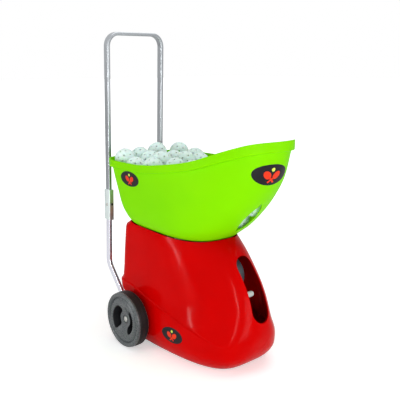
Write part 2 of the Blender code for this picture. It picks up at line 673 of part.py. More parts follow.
def pivots(m, parent):
    x0, z0 = NIP_PIVOT.x, NIP_PIVOT.z
    spans = {"right": (-0.056, -0.026, -0.050), "left": (0.026, 0.0655, 0.046)}
    for side, (low, high, bracket) in spans.items():
        cylinder(f"pivot_shaft_{side}", 0.006, low, high, 20, m["steel"], parent, 'Y', (x0, 0, z0))
        outline = [(x0 - 0.030, 0.0118), (x0 + 0.026, 0.0118), (x0 + 0.014, z0 + 0.014),
                   (x0 - 0.014, z0 + 0.014)]
        plate = prism(f"pivot_bracket_{side}", outline, bracket, bracket + 0.004, m["steel"], parent, 'Y')
        inward = 1 if side == "left" else -1
        toe = sorted((bracket + 0.002, bracket + 0.002 + inward * 0.024))
        foot = box("bracket_foot", (x0 - 0.030, toe[0], 0.0118), (x0 + 0.026, toe[1], 0.0155), None, parent)
        fuse(plate, foot)
        cut(plate, cylinder("bracket_hole", 0.0061, -0.08, 0.08, 20, None, parent, 'Y', (x0, 0, z0)))


def gear_outline(teeth, start, end, phase, inner):
    """Straight-flanked teeth between two angles, closed over an inner radius."""
    pitch_r = GEAR_MODULE * teeth / 2
    tip, root = pitch_r + 0.8 * GEAR_MODULE, pitch_r - 1.15 * GEAR_MODULE
    pitch = 2 * pi / teeth
    base_half, tip_half = 0.30 * pitch, 0.115 * pitch
    outline = []
    first, last = int(np.ceil((start - phase) / pitch)), int(np.floor((end - phase) / pitch))
    for k in range(first, last + 1):
        a = phase + k * pitch
        for r, off in ((root, -base_half), (tip, -tip_half), (tip, tip_half), (root, base_half)):
            outline.append((r * cos(a + off), r * sin(a + off)))
    if end - start < 2 * pi - pitch:
        outline = outline + [(inner * cos(end), inner * sin(end)), (inner * cos(start), inner * sin(start))]
    return outline


def tilt_drive(m, parent):
    """A toothed sector on the left pivot shaft, turned by a pinion on the tilt motor."""
    x0, z0 = NIP_PIVOT.x, NIP_PIVOT.z
    low, high = GEAR_Y, GEAR_Y + GEAR_WIDTH
    sector_r, pinion_r = GEAR_MODULE * SECTOR_TEETH / 2, GEAR_MODULE * PINION_TEETH / 2
    outline = gear_outline(SECTOR_TEETH, radians(146), radians(194), pi, 0.012)
    sector = prism("tilt_sector", outline, low, high, m["steel"], parent, 'Y', (x0, 0, z0))
    hub = cylinder("sector_hub", 0.014, low, high, 24, None, parent, 'Y', (x0, 0, z0))
    fuse(sector, hub)
    cut(sector, cylinder("sector_bore", 0.0061, 0.0, 0.08, 20, None, parent, 'Y', (x0, 0, z0)))

    centre = (x0 - sector_r - pinion_r - 0.0002, 0, z0)
    half_pitch = pi / PINION_TEETH
    pinion = prism("tilt_pinion", gear_outline(PINION_TEETH, 0.0, 2 * pi - 0.01, half_pitch, 0.0),
                   low, high, m["steel"], parent, 'Y', centre)
    fuse(pinion, cylinder("pinion_stub", 0.004, low + 0.001, high + 0.008, 16, None, parent, 'Y', centre))

    can = ((0.0, 0.0705), (0.005, 0.0705), (0.005, 0.0665), (0.019, 0.0665), (0.019, 0.118), (0.0, 0.118))
    motor = turned("tilt_motor", can, 24, m["motor"], parent, 'Y', centre)
    stand = box("motor_stand", (centre[0] - 0.016, 0.072, 0.0118), (centre[0] + 0.016, 0.112, z0 - 0.012),
                None, parent)
    fuse(motor, stand)


# Power

def battery(m, parent):
    case = bevel(box("battery", (-0.062, -0.055, 0.0118), (0.083, 0.055, 0.086), m["black"], parent), 0.003)
    return case


# Axle and carrying wheels

def axle(m, parent):
    cylinder("wheel_axle", AXLE_R, -AXLE_HALF, AXLE_HALF, 20, m["steel"], parent, 'Y', (0, 0, WHEEL_R))
    for side, sign in (("left", 1), ("right", -1)):
        low, high = sorted((sign * 0.126, sign * 0.130))
        outline = [(-0.030, 0.0118), (0.030, 0.0118), (0.016, WHEEL_R + 0.016), (-0.016, WHEEL_R + 0.016)]
        plate = prism(f"axle_bracket_{side}", outline, low, high, m["steel"], parent, 'Y')
        toe = sorted((sign * 0.100, sign * 0.128))
        foot = box("axle_foot", (-0.030, toe[0], 0.0118), (0.030, toe[1], 0.0155), None, parent)
        fuse(plate, foot)
        cut(plate, cylinder("axle_hole", AXLE_R + GAP, -0.2, 0.2, 20, None, parent, 'Y', (0, 0, WHEEL_R)))

        spacer = ((AXLE_R + GAP, 0.1795), (0.0115, 0.1795), (0.0115, WHEEL_IN_Y - GAP - 0.0002),
                  (AXLE_R + GAP, WHEEL_IN_Y - GAP - 0.0002))
        turned(f"wheel_spacer_{side}", [(r, sign * h) for r, h in spacer], 20, m["steel"], parent, 'Y',
               (0, 0, WHEEL_R))
        start, end = WHEEL_FACE_Y + GAP, AXLE_HALF + 0.0026
        nut = ((0.0, AXLE_HALF + GAP), (AXLE_R + GAP, AXLE_HALF + GAP), (AXLE_R + GAP, start), (0.0104, start),
               (0.0104, start + 0.0040), (0.0090, end), (0.0, end))
        turned(f"axle_nut_{side}", [(r, sign * h) for r, h in nut], 20, m["steel"], parent, 'Y',
               (0, 0, WHEEL_R))


def wheel_opening(turn):
    """Outline of a pocket: a round end at its start, an outer edge that swells, a straight end."""
    start_r = OPENING_FLARE[0][1]
    middle, half = (OPENING_R_IN + start_r) / 2, (start_r - OPENING_R_IN) / 2
    first = turn + OPENING_START + half / middle
    last = turn + OPENING_END
    edge = arc((middle * cos(first), middle * sin(first)), half, first + pi, first + 2 * pi, 7)
    for k in range(1, 9):
        swing = (last - first) * k / 8
        r = smooth(OPENING_FLARE, swing)
        edge.append((r * cos(first + swing), r * sin(first + swing)))
    return edge + arc((0, 0), OPENING_R_IN, last, first, 6)[:-1]


def carrying_wheels(m, parent):
    """Built for the right side, outer face at -Y; the left one is the same wheel turned half round."""
    tyre = ((TYRE_IN_R, -TYRE_HALF), (0.0995, -TYRE_HALF), (WHEEL_R, -TYRE_HALF + 0.003),
            (WHEEL_R, TYRE_HALF - 0.003), (0.0995, TYRE_HALF), (TYRE_IN_R, TYRE_HALF))
    seat, lip, flange = TYRE_IN_R - GAP, TYRE_HALF + GAP, 0.0985
    face = WHEEL_MID_Y - WHEEL_FACE_Y
    hub = ((HUB_BORE_R, face), (0.0150, face), (0.0158, -0.0110), (0.0185, -0.0108), (0.030, -0.0130),
           (0.045, -0.0180), (0.058, -0.0232), (0.066, -0.0250), (0.073, -0.0243), (0.083, -0.0202),
           (0.0860, -0.0238), (0.0900, -0.0262), (0.0955, -0.0262), (0.0990, -0.0240), (0.1002, -0.0200),
           (0.1002, -lip), (seat, -lip), (seat, lip), (flange, lip), (flange, 0.0190), (0.094, 0.0210),
           (0.082, 0.0205), (0.078, 0.0150), (0.024, 0.0150), (0.022, 0.0205), (HUB_BORE_R, 0.0205))
    for side, sign in (("left", 1), ("right", -1)):
        at = (0.0, sign * WHEEL_MID_Y, WHEEL_R)
        turn = (0.0, 0.0, pi if sign > 0 else 0.0)
        turned(f"tyre_{side}", tyre, 32, m["rubber"], parent, 'Y', at, turn)
        disc = turned(f"wheel_hub_{side}", hub, 32, m["hub"], parent, 'Y', at, turn)
        for half in (0.0, pi):
            cut(disc, prism("opening_cutter", wheel_opening(half), -0.03, POCKET_BACK, None, parent, 'Y', at,
                            turn))


# Folding handle

def flat_tube(name, path, mat, parent, location=None, rotation=None):
    """Hollow flat tube along (point, narrow direction, broad direction) rows."""
    rings = []
    for depth, width in ((TUBE_X, TUBE_Y), (TUBE_X - TUBE_WALL, TUBE_Y - TUBE_WALL)):
        rows = []
        for point, narrow, broad in path:
            rows.append([point + narrow * (width * a) + broad * (depth * b)
                         for a, b in ((-1, -1), (1, -1), (1, 1), (-1, 1))])
        rings.append(rows)
    bm = bmesh.new()
    loops = [[bm.verts.new(p) for p in row] for row in rings[0] + rings[1][::-1]]
    for one, two in zip(loops, loops[1:] + loops[:1]):
        for k in range(4):
            j = (k + 1) % 4
            bm.faces.new((one[k], one[j], two[j], two[k]))
    return finish_mesh(name, bm, mat, parent, location, rotation)


def handle_bar(m, pivot):
    """Inverted U in the pivot's own frame, whose Z runs up the posts."""
    top = (HANDLE_TOP - PIN_Z) / cos(LEAN) - TUBE_Y
    radius = HANDLE_CORNER - TUBE_Y
    broad = Vector((1, 0, 0))
    path = [(Vector((0, -POST_Y, -TUBE_X)), Vector((0, 1, 0)), broad)]
    for side, start in ((-1, pi), (1, pi / 2)):
        centre = Vector((0, side * (POST_Y - radius), top - radius))
        for k in range(7):
            a = start - k * pi / 12
            out = Vector((0, cos(a), sin(a)))
            path.append((centre + out * radius, -out, broad))
    path.append((Vector((0, POST_Y, -TUBE_X)), Vector((0, -1, 0)), broad))
    bar = flat_tube("handle_bar", path, m["aluminium"], pivot)
    ends = ([(-0.015, 0.0005)] + arc((0, 0), TUBE_X, pi, 2 * pi, 10)
            + [(0.015, 0.0005), (0.015, -0.016), (-0.015, -0.016)])
    cut(bar, prism("end_cutter", ends, -0.2, 0.2, None, pivot, 'Y'))
    cut(bar, cylinder("pin_cutter", 0.0041, -0.2, 0.2, 16, None, pivot, 'Y'))
    return bar


def hinge_pieces(m, pivot):
    for side, sign in (("left", 1), ("right", -1)):
        y = sign * POST_Y
        web = TUBE_X + WEB_GAP
        half = TUBE_Y + 0.0004
        low, high = CHANNEL_LOW - PIN_Z, CHANNEL_HIGH - PIN_Z
        back = -0.0175
        outline = [(back, y - half - CHANNEL_WALL), (web + CHANNEL_WALL, y - half - CHANNEL_WALL),
                   (web + CHANNEL_WALL, y + half + CHANNEL_WALL), (back, y + half + CHANNEL_WALL),
                   (back, y + half), (web, y + half), (web, y - half), (back, y - half)]
        channel = prism(f"hinge_channel_{side}", outline, low, high, m["channel"], pivot)
        cut(channel, cylinder("channel_pin_hole", 0.0041, -0.2, 0.2, 16, None, pivot, 'Y'),
            cylinder("channel_button_hole", BUTTON_R + 0.0003, 0.0, 0.05, 16, None, pivot, 'X',
                     (0, y, 0.003)))
        reach = half + CHANNEL_WALL
        rivet = ((0.0, -reach - 0.0022), (0.0052, -reach - 0.0020), (0.0065, -reach - GAP),
                 (0.0038, -reach - GAP), (0.0038, reach + GAP), (0.0065, reach + GAP), (0.0052, reach + 0.0020),
                 (0.0, reach + 0.0022))
        turned(f"hinge_pin_{side}", rivet, 16, m["steel"], pivot, 'Y', (0, y, 0))
        face = web + CHANNEL_WALL
        button = ((0.0, web - 0.0003), (BUTTON_R, web - 0.0003), (BUTTON_R, face + BUTTON_TRAVEL + 0.0003),
                  (0.0048, face + BUTTON_TRAVEL + 0.0003), (0.0048, face + BUTTON_TRAVEL + 0.0018),
                  (0.0038, face + BUTTON_TRAVEL + 0.0026), (0.0, face + BUTTON_TRAVEL + 0.0026))
        turned(f"lock_button_{side}", button, 16, m["black"], pivot, 'X', (0, y, 0.003))


def lower_tubes(m, parent):
    """From the hinge down, bending forward to the foot of the rear wall."""
    along = Vector((sin(LEAN), 0, cos(LEAN)))
    for side, sign in (("left", 1), ("right", -1)):
        top = Vector((PIN_X, sign * POST_Y, PIN_Z)) - along * (PIN_Z - LOWER_TUBE_TOP)
        corners = [top] + [Vector((p.x, sign * POST_Y, p.z)) for p in (LOWER_BEND, LOWER_KNEE, LOWER_END)]
        path = []
        for k, corner in enumerate(corners):
            before = (corner - corners[k - 1]).normalized() if k else None
            after = (corners[k + 1] - corner).normalized() if k < len(corners) - 1 else None
            if before is None or after is None:
                direction = after or before
                path.append((corner, direction))
                continue
            turn = before.angle(after)
            radius = 0.050 if k == 1 else 0.034
            trim = radius * tan(turn / 2)
            start, end = corner - before * trim, corner + after * trim
            for i in range(6):
                t = i / 5
                spot = start * (1 - t)**2 + corner * 2 * t * (1 - t) + end * t**2
                path.append((spot, (before * (1 - t) + after * t).normalized()))
        narrow = Vector((0, 1, 0))
        rows = [(spot, narrow, narrow.cross(direction) * -1) for spot, direction in path]
        flat_tube(f"lower_tube_{side}", rows, m["aluminium"], parent)


def foot_clamps(m, parent):
    """Saddles that bolt the feet of the lower tubes to the rear wall."""
    x0, x1 = LOWER_END.x - TUBE_X - 0.0004, -0.0940
    for side, sign in (("left", 1), ("right", -1)):
        y = sign * POST_Y
        inner, outer, ear = TUBE_Y + 0.0004, TUBE_Y + 0.0030, 0.024
        outline = [(x1, y - ear), (x1, y - inner), (x0, y - inner), (x0, y + inner), (x1, y + inner),
                   (x1, y + ear), (x1 - 0.0026, y + ear), (x1 - 0.0026, y + outer), (x0 - 0.0026, y + outer),
                   (x0 - 0.0026, y - outer), (x1 - 0.0026, y - outer), (x1 - 0.0026, y - ear)]
        clamp = prism(f"foot_clamp_{side}", outline, 0.030, 0.062, m["steel"], parent)
        for off in (-0.0170, 0.0170):
            head = cylinder("clamp_bolt", 0.0048, x1 - 0.0062, x1 - 0.001, 6, None, parent, 'X',
                            (0, y + off, 0.046))
            fuse(clamp, head)


# Rear control panel: u to the right seen from behind, v up the wall, w out of it

def panel_matrix():
    out = Vector((-cos(PANEL_SLOPE), 0, sin(PANEL_SLOPE)))
    up = Vector((sin(PANEL_SLOPE), 0, cos(PANEL_SLOPE)))
    right = up.cross(out)
    turn = Matrix((right, up, out)).transposed().to_4x4()
    return Matrix.Translation(PANEL_CENTRE) @ turn


CONTROLS = {
    "power_switch": (-0.052, 0.034),
    "tilt_switch": (-0.052, -0.024),
    "speed_knob": (0.004, 0.030),
    "feed_knob": (0.050, 0.030),
    "charge_socket": (0.004, -0.030),
    "fuse_holder": (0.050, -0.030),
}
CONTROL_HOLE = {"speed_knob": 0.0036, "feed_knob": 0.0036, "charge_socket": 0.0105, "fuse_holder": 0.0065}
PANEL_FACE = 0.0062
SWITCH_HALF = (0.0095, 0.0135)
ROCKER_AXIS = PANEL_FACE - PANEL_THICK / 2
ROCKER_THROW = radians(8)


def control_panel(m, frame):
    half_u, half_v = PANEL_HALF
    panel = box("control_panel", (-half_u, -half_v, PANEL_FACE - PANEL_THICK), (half_u, half_v, PANEL_FACE),
                m["black"], frame)
    holes = []
    for name, (u, v) in CONTROLS.items():
        if name.endswith("switch"):
            a, b = SWITCH_HALF[0] + 0.0008, SWITCH_HALF[1] + 0.0010
            holes.append(box("switch_cutter", (u - a, v - b, -0.02), (u + a, v + b, 0.02), None, frame))
        else:
            r = CONTROL_HOLE[name]
            holes.append(cylinder("control_cutter", r, -0.02, 0.02, 20, None, frame, 'Z', (u, v, 0)))
    return cut(panel, *holes)


def rocker(name, rest_tilt, m, frame):
    """Seen from the side a shallow V, turning about the middle of the panel's thickness."""
    u, v = CONTROLS[name]
    a, b = SWITCH_HALF
    top = 0.0062
    profile = [(-b, -0.0080), (b, -0.0080), (b, top), (0.0, top - 0.0016), (-b, top)]
    return prism(name, profile, -a, a, m["black"], frame, 'X', (u, v, ROCKER_AXIS), (rest_tilt, 0, 0))


def knob(name, m, frame):
    u, v = CONTROLS[name]
    face = PANEL_FACE + 0.0006
    profile = ((0.0, -0.012), (0.0031, -0.012), (0.0031, face), (0.0175, face), (0.0180, face + 0.003),
               (0.0155, face + 0.0045), (0.0140, face + 0.0150), (0.0125, face + 0.0165), (0.0, face + 0.0165))
    piece = turned(name, profile, 20, m["black"], frame, 'Z', (u, v, 0))
    mark = box("knob_pointer", (u - 0.0008, v + 0.004, face + 0.0155), (u + 0.0008, v + 0.0158, face + 0.0176),
               None, frame)
    return fuse(piece, mark)


def panel_fittings(m, frame):
    u, v = CONTROLS["charge_socket"]
    face = PANEL_FACE + GAP
    socket = ((0.0, -0.016), (0.0100, -0.016), (0.0100, face), (0.0125, face), (0.0125, face + 0.0026),
              (0.0070, face + 0.0026), (0.0070, -0.010), (0.0, -0.010))
    turned("charge_socket", socket, 16, m["black"], frame, 'Z', (u, v, 0))
    low, high = face + 0.0030, face + 0.0052
    lid = cylinder("socket_cap", 0.0120, low, high, 18, m["rubber"], frame, 'Z', (u, v, 0))
    tab = box("cap_tab", (u - 0.004, v + 0.010, low), (u + 0.004, v + 0.0178, high), None, frame)
    barrel = cylinder("cap_barrel", 0.0021, u - 0.004, u + 0.004, 12, None, frame, 'X',
                      (0, v + 0.0180, low + 0.0001))
    fuse(lid, tab, barrel)
    u, v = CONTROLS["fuse_holder"]
    fuse_body = ((0.0, -0.024), (0.0060, -0.024), (0.0060, face), (0.0095, face), (0.0095, face + 0.002),
                 (0.0075, face + 0.0025), (0.0070, face + 0.0085), (0.0, face + 0.0085))
    turned("fuse_holder", fuse_body, 14, m["black"], frame, 'Z', (u, v, 0))


def control_board(m, frame):
    """Circuit board behind the panel, with its larger parts."""
    board = box("control_board", (-0.068, -0.053, -0.0340), (0.068, 0.053, -0.0324), m["board"], frame)
    blocks = ((-0.050, -0.040, 0.030, 0.016), (-0.010, 0.020, 0.022, 0.012), (0.030, -0.030, 0.026, 0.018),
              (0.010, -0.035, 0.012, 0.012))
    for u, v, wide, deep in blocks:
        block = box("board_block", (u, v, -0.0332 - deep), (u + wide, v + wide * 0.7, -0.0332), None, frame)
        fuse(board, block)
    for u in (-0.0650, 0.0650):
        for v in (-0.0498, 0.0498):
            leg = cylinder("board_leg", 0.0025, -0.0332, PANEL_FACE - PANEL_THICK - GAP, 10, None, frame, 'Z',
                           (u, v, 0))
            fuse(board, leg)
    return board


def empty(name, parent=None, matrix=None):
    made = bpy.data.objects.new(name, None)
    bpy.context.scene.collection.objects.link(made)
    made.parent = parent
    if matrix is not None:
        made.matrix_local = matrix
    return made


def main():
    for obj in list(bpy.data.objects):
        bpy.data.objects.remove(obj, do_unlink=True)
    m = make_materials()
    machine = empty("machine", None, Matrix.Translation((ORIGIN_SHIFT, 0, 0)))
    handle_pivot = empty("handle_pivot", machine,
                         Matrix.Translation((PIN_X, 0, PIN_Z)) @ Matrix.Rotation(LEAN, 4, 'Y'))
    panel_frame = empty("panel_frame", machine, panel_matrix())

    body_shell(m, machine)
    base_pan(m, machine)
    feet(m, machine)
    hopper(m, machine)
    ball_load(m, machine)
    feed_deck(m, machine)
    feed_wheel(m, machine)
    feed_drive(m, machine)
    ball_chute(m, machine)
    head_frame(m, machine)
    throw_pieces(m, machine)
    nip_guide(m, machine)
    pivots(m, machine)
    tilt_drive(m, machine)
    battery(m, machine)
    axle(m, machine)
    carrying_wheels(m, machine)
    handle_bar(m, handle_pivot)
    hinge_pieces(m, handle_pivot)
    lower_tubes(m, machine)
    foot_clamps(m, machine)
    control_panel(m, panel_frame)
    rocker("power_switch", -ROCKER_THROW, m, panel_frame)
    rocker("tilt_switch", 0.0, m, panel_frame)
    knob("speed_knob", m, panel_frame)
    knob("feed_knob", m, panel_frame)
    panel_fittings(m, panel_frame)
    control_board(m, panel_frame)


main()
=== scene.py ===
"""Looks of the pickleball machine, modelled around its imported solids.

Metres, but tables in mm(). Pieces are laid out from the wheel axle (X = 0, ground at Z = 0).
dress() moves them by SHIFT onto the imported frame, whose origin is the middle of the footprint.
"""
import json
import random
from math import atan2, cos, pi, radians, sin, sqrt, tan

import bpy
from mathutils import Matrix, Vector
from mathutils.bvhtree import BVHTree


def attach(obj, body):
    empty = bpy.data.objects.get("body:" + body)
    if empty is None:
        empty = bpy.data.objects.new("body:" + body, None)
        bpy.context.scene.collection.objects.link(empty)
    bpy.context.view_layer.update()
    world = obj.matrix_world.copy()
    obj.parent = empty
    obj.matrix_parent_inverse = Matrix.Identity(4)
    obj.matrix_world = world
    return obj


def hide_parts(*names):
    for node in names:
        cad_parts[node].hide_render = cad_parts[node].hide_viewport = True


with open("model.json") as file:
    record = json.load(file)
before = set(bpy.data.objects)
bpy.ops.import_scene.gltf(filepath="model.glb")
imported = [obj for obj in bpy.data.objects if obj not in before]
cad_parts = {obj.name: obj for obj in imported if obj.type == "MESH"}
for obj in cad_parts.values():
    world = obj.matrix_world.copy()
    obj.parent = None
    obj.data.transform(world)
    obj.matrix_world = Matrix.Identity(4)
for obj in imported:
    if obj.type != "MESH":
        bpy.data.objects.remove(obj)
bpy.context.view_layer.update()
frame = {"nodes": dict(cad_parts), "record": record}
record = frame["record"]
body_of = {node: body for body, nodes in record["behaviour"]["bodies"].items() for node in nodes}
slot_of = {part["node"]: part["material_slot"] for part in record["subparts"]}

SHIFT = -0.1449
GAP = 0.0003                    # between pieces that only seem to touch
SIDES = (("left", 1), ("right", -1))


def mm(*points):
    """Points given in millimetres."""
    return [tuple(value / 1000 for value in point) for point in points]


# Camera fitted to the photograph
CAMERA_AT = (1.780 + SHIFT, -1.425, 1.013)
CAMERA_TURN = radians(48.67)
CAMERA_DOWN = radians(12.42)
LENS = 56.7

# Carrying wheels
WHEEL_R = 0.1016
WHEEL_MID_Y = 0.207
AXLE_HOLE_R = 0.0076
OPENING_R_IN = 0.029
OPENING_FLARE = ((0.0, 0.0585), (0.5, 0.0610), (1.0, 0.0635), (1.7, 0.0655))
OPENING_START = radians(-68)
OPENING_END = radians(48)
OPENING_CORNER = 0.006
POCKET_BACK = 0.0125
POCKET_FRONT = -0.03
# Dark liners in the wheel pockets are painted shade: black sheets laid where the pockets lie in shadow
LINER_WALL = 0.0013
LINER_SET_BACK = 0.0012
LINER_RIBS = (0.037, 0.047, 0.057)
RIB_HALF = 0.001
RIB_FRONT = 0.004

# Moulded body
BODY_WALL = 0.004
BODY_BOTTOM = 0.003
BODY_TOP = 0.457
BODY_MID_X = -0.036
BODY_CORNER = 0.040
CREASE = mm((-150, 222), (-60, 212), (38, 187), (191, 153), (299, 128), (385, 108), (500, 104))
BODY_REAR = mm((3, -89), (30, -93), (70, -93.3), (120, -96), (155, -100), (168, -104), (174, -112),
               (180, -122), (190, -129), (205, -131), (216, -130), (223, -127), (230, -122.5),
               (240, -121.5), (260, -119), (335, -114.5), (396, -109), (416.5, -107.2), (430, -102),
               (437.7, -91), (445, -77), (457, -55))
BODY_NOSE = mm((3, 388), (10, 402), (40, 438), (70, 457), (100, 468), (130, 476), (150, 478), (180, 475),
               (210, 470), (240, 463), (280, 447), (310, 428), (350, 396), (385, 364), (430, 310),
               (457, 270))
BODY_HALF = mm((3, 138), (10, 149), (40, 166), (70, 175), (105, 178), (130, 175), (160, 166), (200, 159),
               (270, 156), (350, 153.5), (410, 152), (440, 150), (450, 147.5), (457, 141))
BODY_BLUNT = ((0.003, 3.6), (0.04, 3.6), (0.10, 3.0), (0.15, 2.5), (0.18, 2.3), (0.24, 2.1), (0.30, 2.0),
              (0.46, 2.0))
CREASE_RIDGE = 0.0035           # how far the crease stands out; it fades from the first X to the second
CREASE_FADE = ((0.34, 1.0), (0.43, 0.0))
RIDGE_ABOVE = 0.005             # height over which it dies away above the crease, and below it
RIDGE_BELOW = 0.05
REAR_LIFT = 0.010               # the rear edge hangs clear of the ground
REAR_LIFT_ENDS = ((0.085, 1.0), (0.105, 0.0))
SLOT_HALF = 0.037
SLOT_TOP_HALF = 0.0345
SLOT_LOW = 0.178
SLOT_HIGH = 0.382

# Hopper
HOPPER_WALL = 0.0035
HOPPER_MID_X = 0.120
HOPPER_CORNER = 0.052
HOPPER_BLUNT = 2.22
RIM_LOW = 0.668
RIM_BAND = 0.028
RIM_RISE = mm((-170, 4), (-60, 0), (40, 1), (100, 5), (163, 14), (256, 29), (320, 43.5), (369, 58.8),
              (410, 73), (454, 87.2), (497, 100), (523, 105), (560, 109))
BAND_GROWTH = mm((250, 0), (320, 1), (410, 4), (497, 6), (560, 6))
RISE_START = 0.466
WALL_TOP = RIM_LOW - RIM_BAND
HOPPER_BASE = 0.412
HOPPER_REAR = mm((412, 0), (416, -14), (424, -40), (440, -68), (466, -94), (507, -118), (549, -130),
                 (596, -142), (640, -151))
HOPPER_NOSE = mm((412, 252), (416, 271), (424, 290), (440, 312), (466, 349), (507, 406), (549, 463),
                 (596, 512), (640, 533))
HOPPER_HALF = mm((412, 80), (416, 100), (424, 122), (440, 144), (466, 157), (507, 165), (549, 169),
                 (596, 174), (640, 179))
THROAT_X = 0.112
THROAT_R = 0.100
THROAT_LOW = 0.38
THROAT_HIGH = 0.47
BOWL_CLEARANCE = 0.0036         # wide enough to show as a dark line round the hopper
WINDOW_CENTRE = Vector((0.3965, 0.0, 0.5155))
WINDOW_SLOPE = radians(45)
WINDOW_HALF_LENGTH = 0.083
WINDOW_HALF_WIDTH = 0.0265

# Balls
BALL_R = 0.037
BALL_WALL = 0.0017
BALL_HOLE = 0.0028
DRILL_DEPTH = 0.012
HEAP = mm((-99, -134, 669), (-108, -60, 667), (-106, 18, 678), (-106, 125, 671), (-22, 134, 656),
          (-35, -67, 662), (38, -72, 668), (-36, 42, 653), (59, 18, 662), (53, 94, 648),
          (-30, -137, 646), (66, -134, 654), (114, -72, 653), (120, 60, 640), (128, -4, 640),
          (190, -50, 630), (190, 40, 628))
WINDOW_BALLS = mm((366, 48, 547), (312, 42, 496))
LOAD_TOP = mm((-150, 655), (100, 645), (220, 618), (340, 585), (450, 545))
STACK_START = -0.105
STACK_TOP = 0.600
STACK_LOW = 0.490
STACK_PITCH = 0.0765
LAYER_HEIGHT = 0.0625
ROW_SHARE = 0.866               # rows of a triangular stack, as a share of its pitch
LAYER_SHIFT = 0.29
LOOSENESS = 0.004
BALL_GAP = 0.001
BOWL_MIDDLE = Vector((0.15 + SHIFT, 0, 0.66))

# Folding handle
TUBE_X = 0.0127
TUBE_Y = 0.00635
TUBE_ROUND = 0.0030
POST_Y = 0.123
PIN_X = -0.2318
PIN_Z = 0.475
LEAN = radians(1.8)
HANDLE_TOP = 1.118
HANDLE_CORNER = 0.051
CHANNEL_LOW = 0.415
CHANNEL_HIGH = 0.535
CHANNEL_WALL = 0.0026
CHANNEL_BACK = -0.0175
TUBE_PLAY = 0.0004
WEB_GAP = 0.0037
BUTTON_R = 0.0036
BUTTON_Z = 0.003
BUTTON_HEAD_R = 0.0048
BUTTON_TRAVEL = 0.003
PIN_HOLE_R = 0.0041
FAR = 0.2                       # well past any piece, for cutters that go right through
LOWER_TUBE_TOP = 0.447
LOWER_BEND = Vector((-0.243, 0.0, 0.238))
LOWER_KNEE = Vector((-0.1095, 0.0, 0.074))
LOWER_END = Vector((-0.1095, 0.0, 0.022))
PIVOT = Matrix.Translation((PIN_X, 0, PIN_Z)) @ Matrix.Rotation(LEAN, 4, 'Y')

# Rear panel: u to the right seen from behind, v up the wall, w out of it
PANEL_CENTRE = Vector((-0.1155, 0.0, 0.310))
PANEL_SLOPE = radians(4.0)
PANEL_HALF = (0.086, 0.070)
PANEL_FACE = 0.0062
PANEL_WINDOW = (0.070, 0.056)
SCREW_HEAD = mm((0, 0), (3.6, 0), (3.6, 0.6), (3, 1.5), (1.6, 2.1), (0, 2.2))
PANEL_SCREWS = ((-0.078, -0.062), (0.078, -0.062), (-0.078, 0.062), (0.078, 0.062))
ROCKER_WINDOW = (0.0103, 0.0145)
HOLE_RADII = {"speed_knob": 0.0036, "feed_knob": 0.0036, "charge_socket": 0.0105, "fuse_holder": 0.0065}
PRINT = 0.0002                  # thickness of printed marks
CONTROLS = {"power_switch": (-0.052, 0.034), "tilt_switch": (-0.052, -0.024), "speed_knob": (0.004, 0.030),
            "feed_knob": (0.050, 0.030), "charge_socket": (0.004, -0.030), "fuse_holder": (0.050, -0.030)}


def panel_matrix():
    out = Vector((-cos(PANEL_SLOPE), 0, sin(PANEL_SLOPE)))
    up = Vector((sin(PANEL_SLOPE), 0, cos(PANEL_SLOPE)))
    turn = Matrix((up.cross(out), up, out)).transposed().to_4x4()
    return Matrix.Translation(PANEL_CENTRE) @ turn


PANEL = panel_matrix()


# Materials

def linear(code):
    """An sRGB hex colour as Blender's linear one."""
    parts = [int(code[i:i + 2], 16) / 255 for i in (1, 3, 5)]
    return (*[c / 12.92 if c <= 0.04045 else ((c + 0.055) / 1.055)**2.4 for c in parts], 1.0)


def add(material, kind, inputs, **settings):
    """Adds one node. An input is a value, or a (node, output) pair to link from."""
    tree = material.node_tree
    node = tree.nodes.new(kind)
    for key, value in settings.items():
        setattr(node, key, value)
    for key, value in inputs.items():
        if isinstance(value, tuple) and isinstance(value[0], bpy.types.Node):
            tree.links.new(value[0].outputs[value[1]], node.inputs[key])
        else:
            node.inputs[key].default_value = value
    return node


def combine(material, operation, *terms):
    """One maths node, as a pair to link from."""
    return add(material, "ShaderNodeMath", dict(enumerate(terms)), operation=operation), "Value"


def noise(material, coords, scale, detail):
    return add(material, "ShaderNodeTexNoise", {"Vector": coords, "Scale": scale, "Detail": detail}), "Fac"


def finish(name, colour, roughness, **sockets):
    """A new material: its plain colour and roughness, and the shader's other sockets by name."""
    material = bpy.data.materials.new(name)
    material.use_nodes = True
    shader = material.node_tree.nodes["Principled BSDF"]
    shader.inputs["Base Color"].default_value = linear(colour)
    shader.inputs["Roughness"].default_value = roughness
    for key, value in sockets.items():
        shader.inputs[key.replace("_", " ").title().replace("Ior", "IOR")].default_value = value
    return material


def drive(material, socket, source):
    material.node_tree.links.new(source[0].outputs[source[1]],
                                 material.node_tree.nodes["Principled BSDF"].inputs[socket])


def where(material, scale=(1, 1, 1), turn=(0, 0, 0)):
    """Object coordinates, stretched or turned."""
    place = add(material, "ShaderNodeTexCoord", {})
    inputs = {"Vector": (place, "Object"), "Scale": scale, "Rotation": turn}
    return add(material, "ShaderNodeMapping", inputs), "Vector"


def vary(material, coords, scale, low, high, socket="Roughness", detail=3.0):
    """Lets a noise of the given scale move a socket between two values, or two colours."""
    cloud = noise(material, coords, scale, detail)
    if isinstance(low, str):
        mixed = add(material, "ShaderNodeMix", {0: cloud, 6: linear(low), 7: linear(high)}, data_type='RGBA')
        drive(material, socket, (mixed, 2))
    else:
        limits = {"Value": cloud, "From Min": 0.3, "From Max": 0.7, "To Min": low, "To Max": high}
        drive(material, socket, (add(material, "ShaderNodeMapRange", limits), "Result"))


def emboss(material, height, depth, strength=1.0):
    """Bumps the surface by a height of the given depth in metres."""
    bump = add(material, "ShaderNodeBump", {"Height": height, "Distance": depth, "Strength": strength})
    drive(material, "Normal", (bump, "Normal"))


# Finishes, each named for the real one and how its surface was made

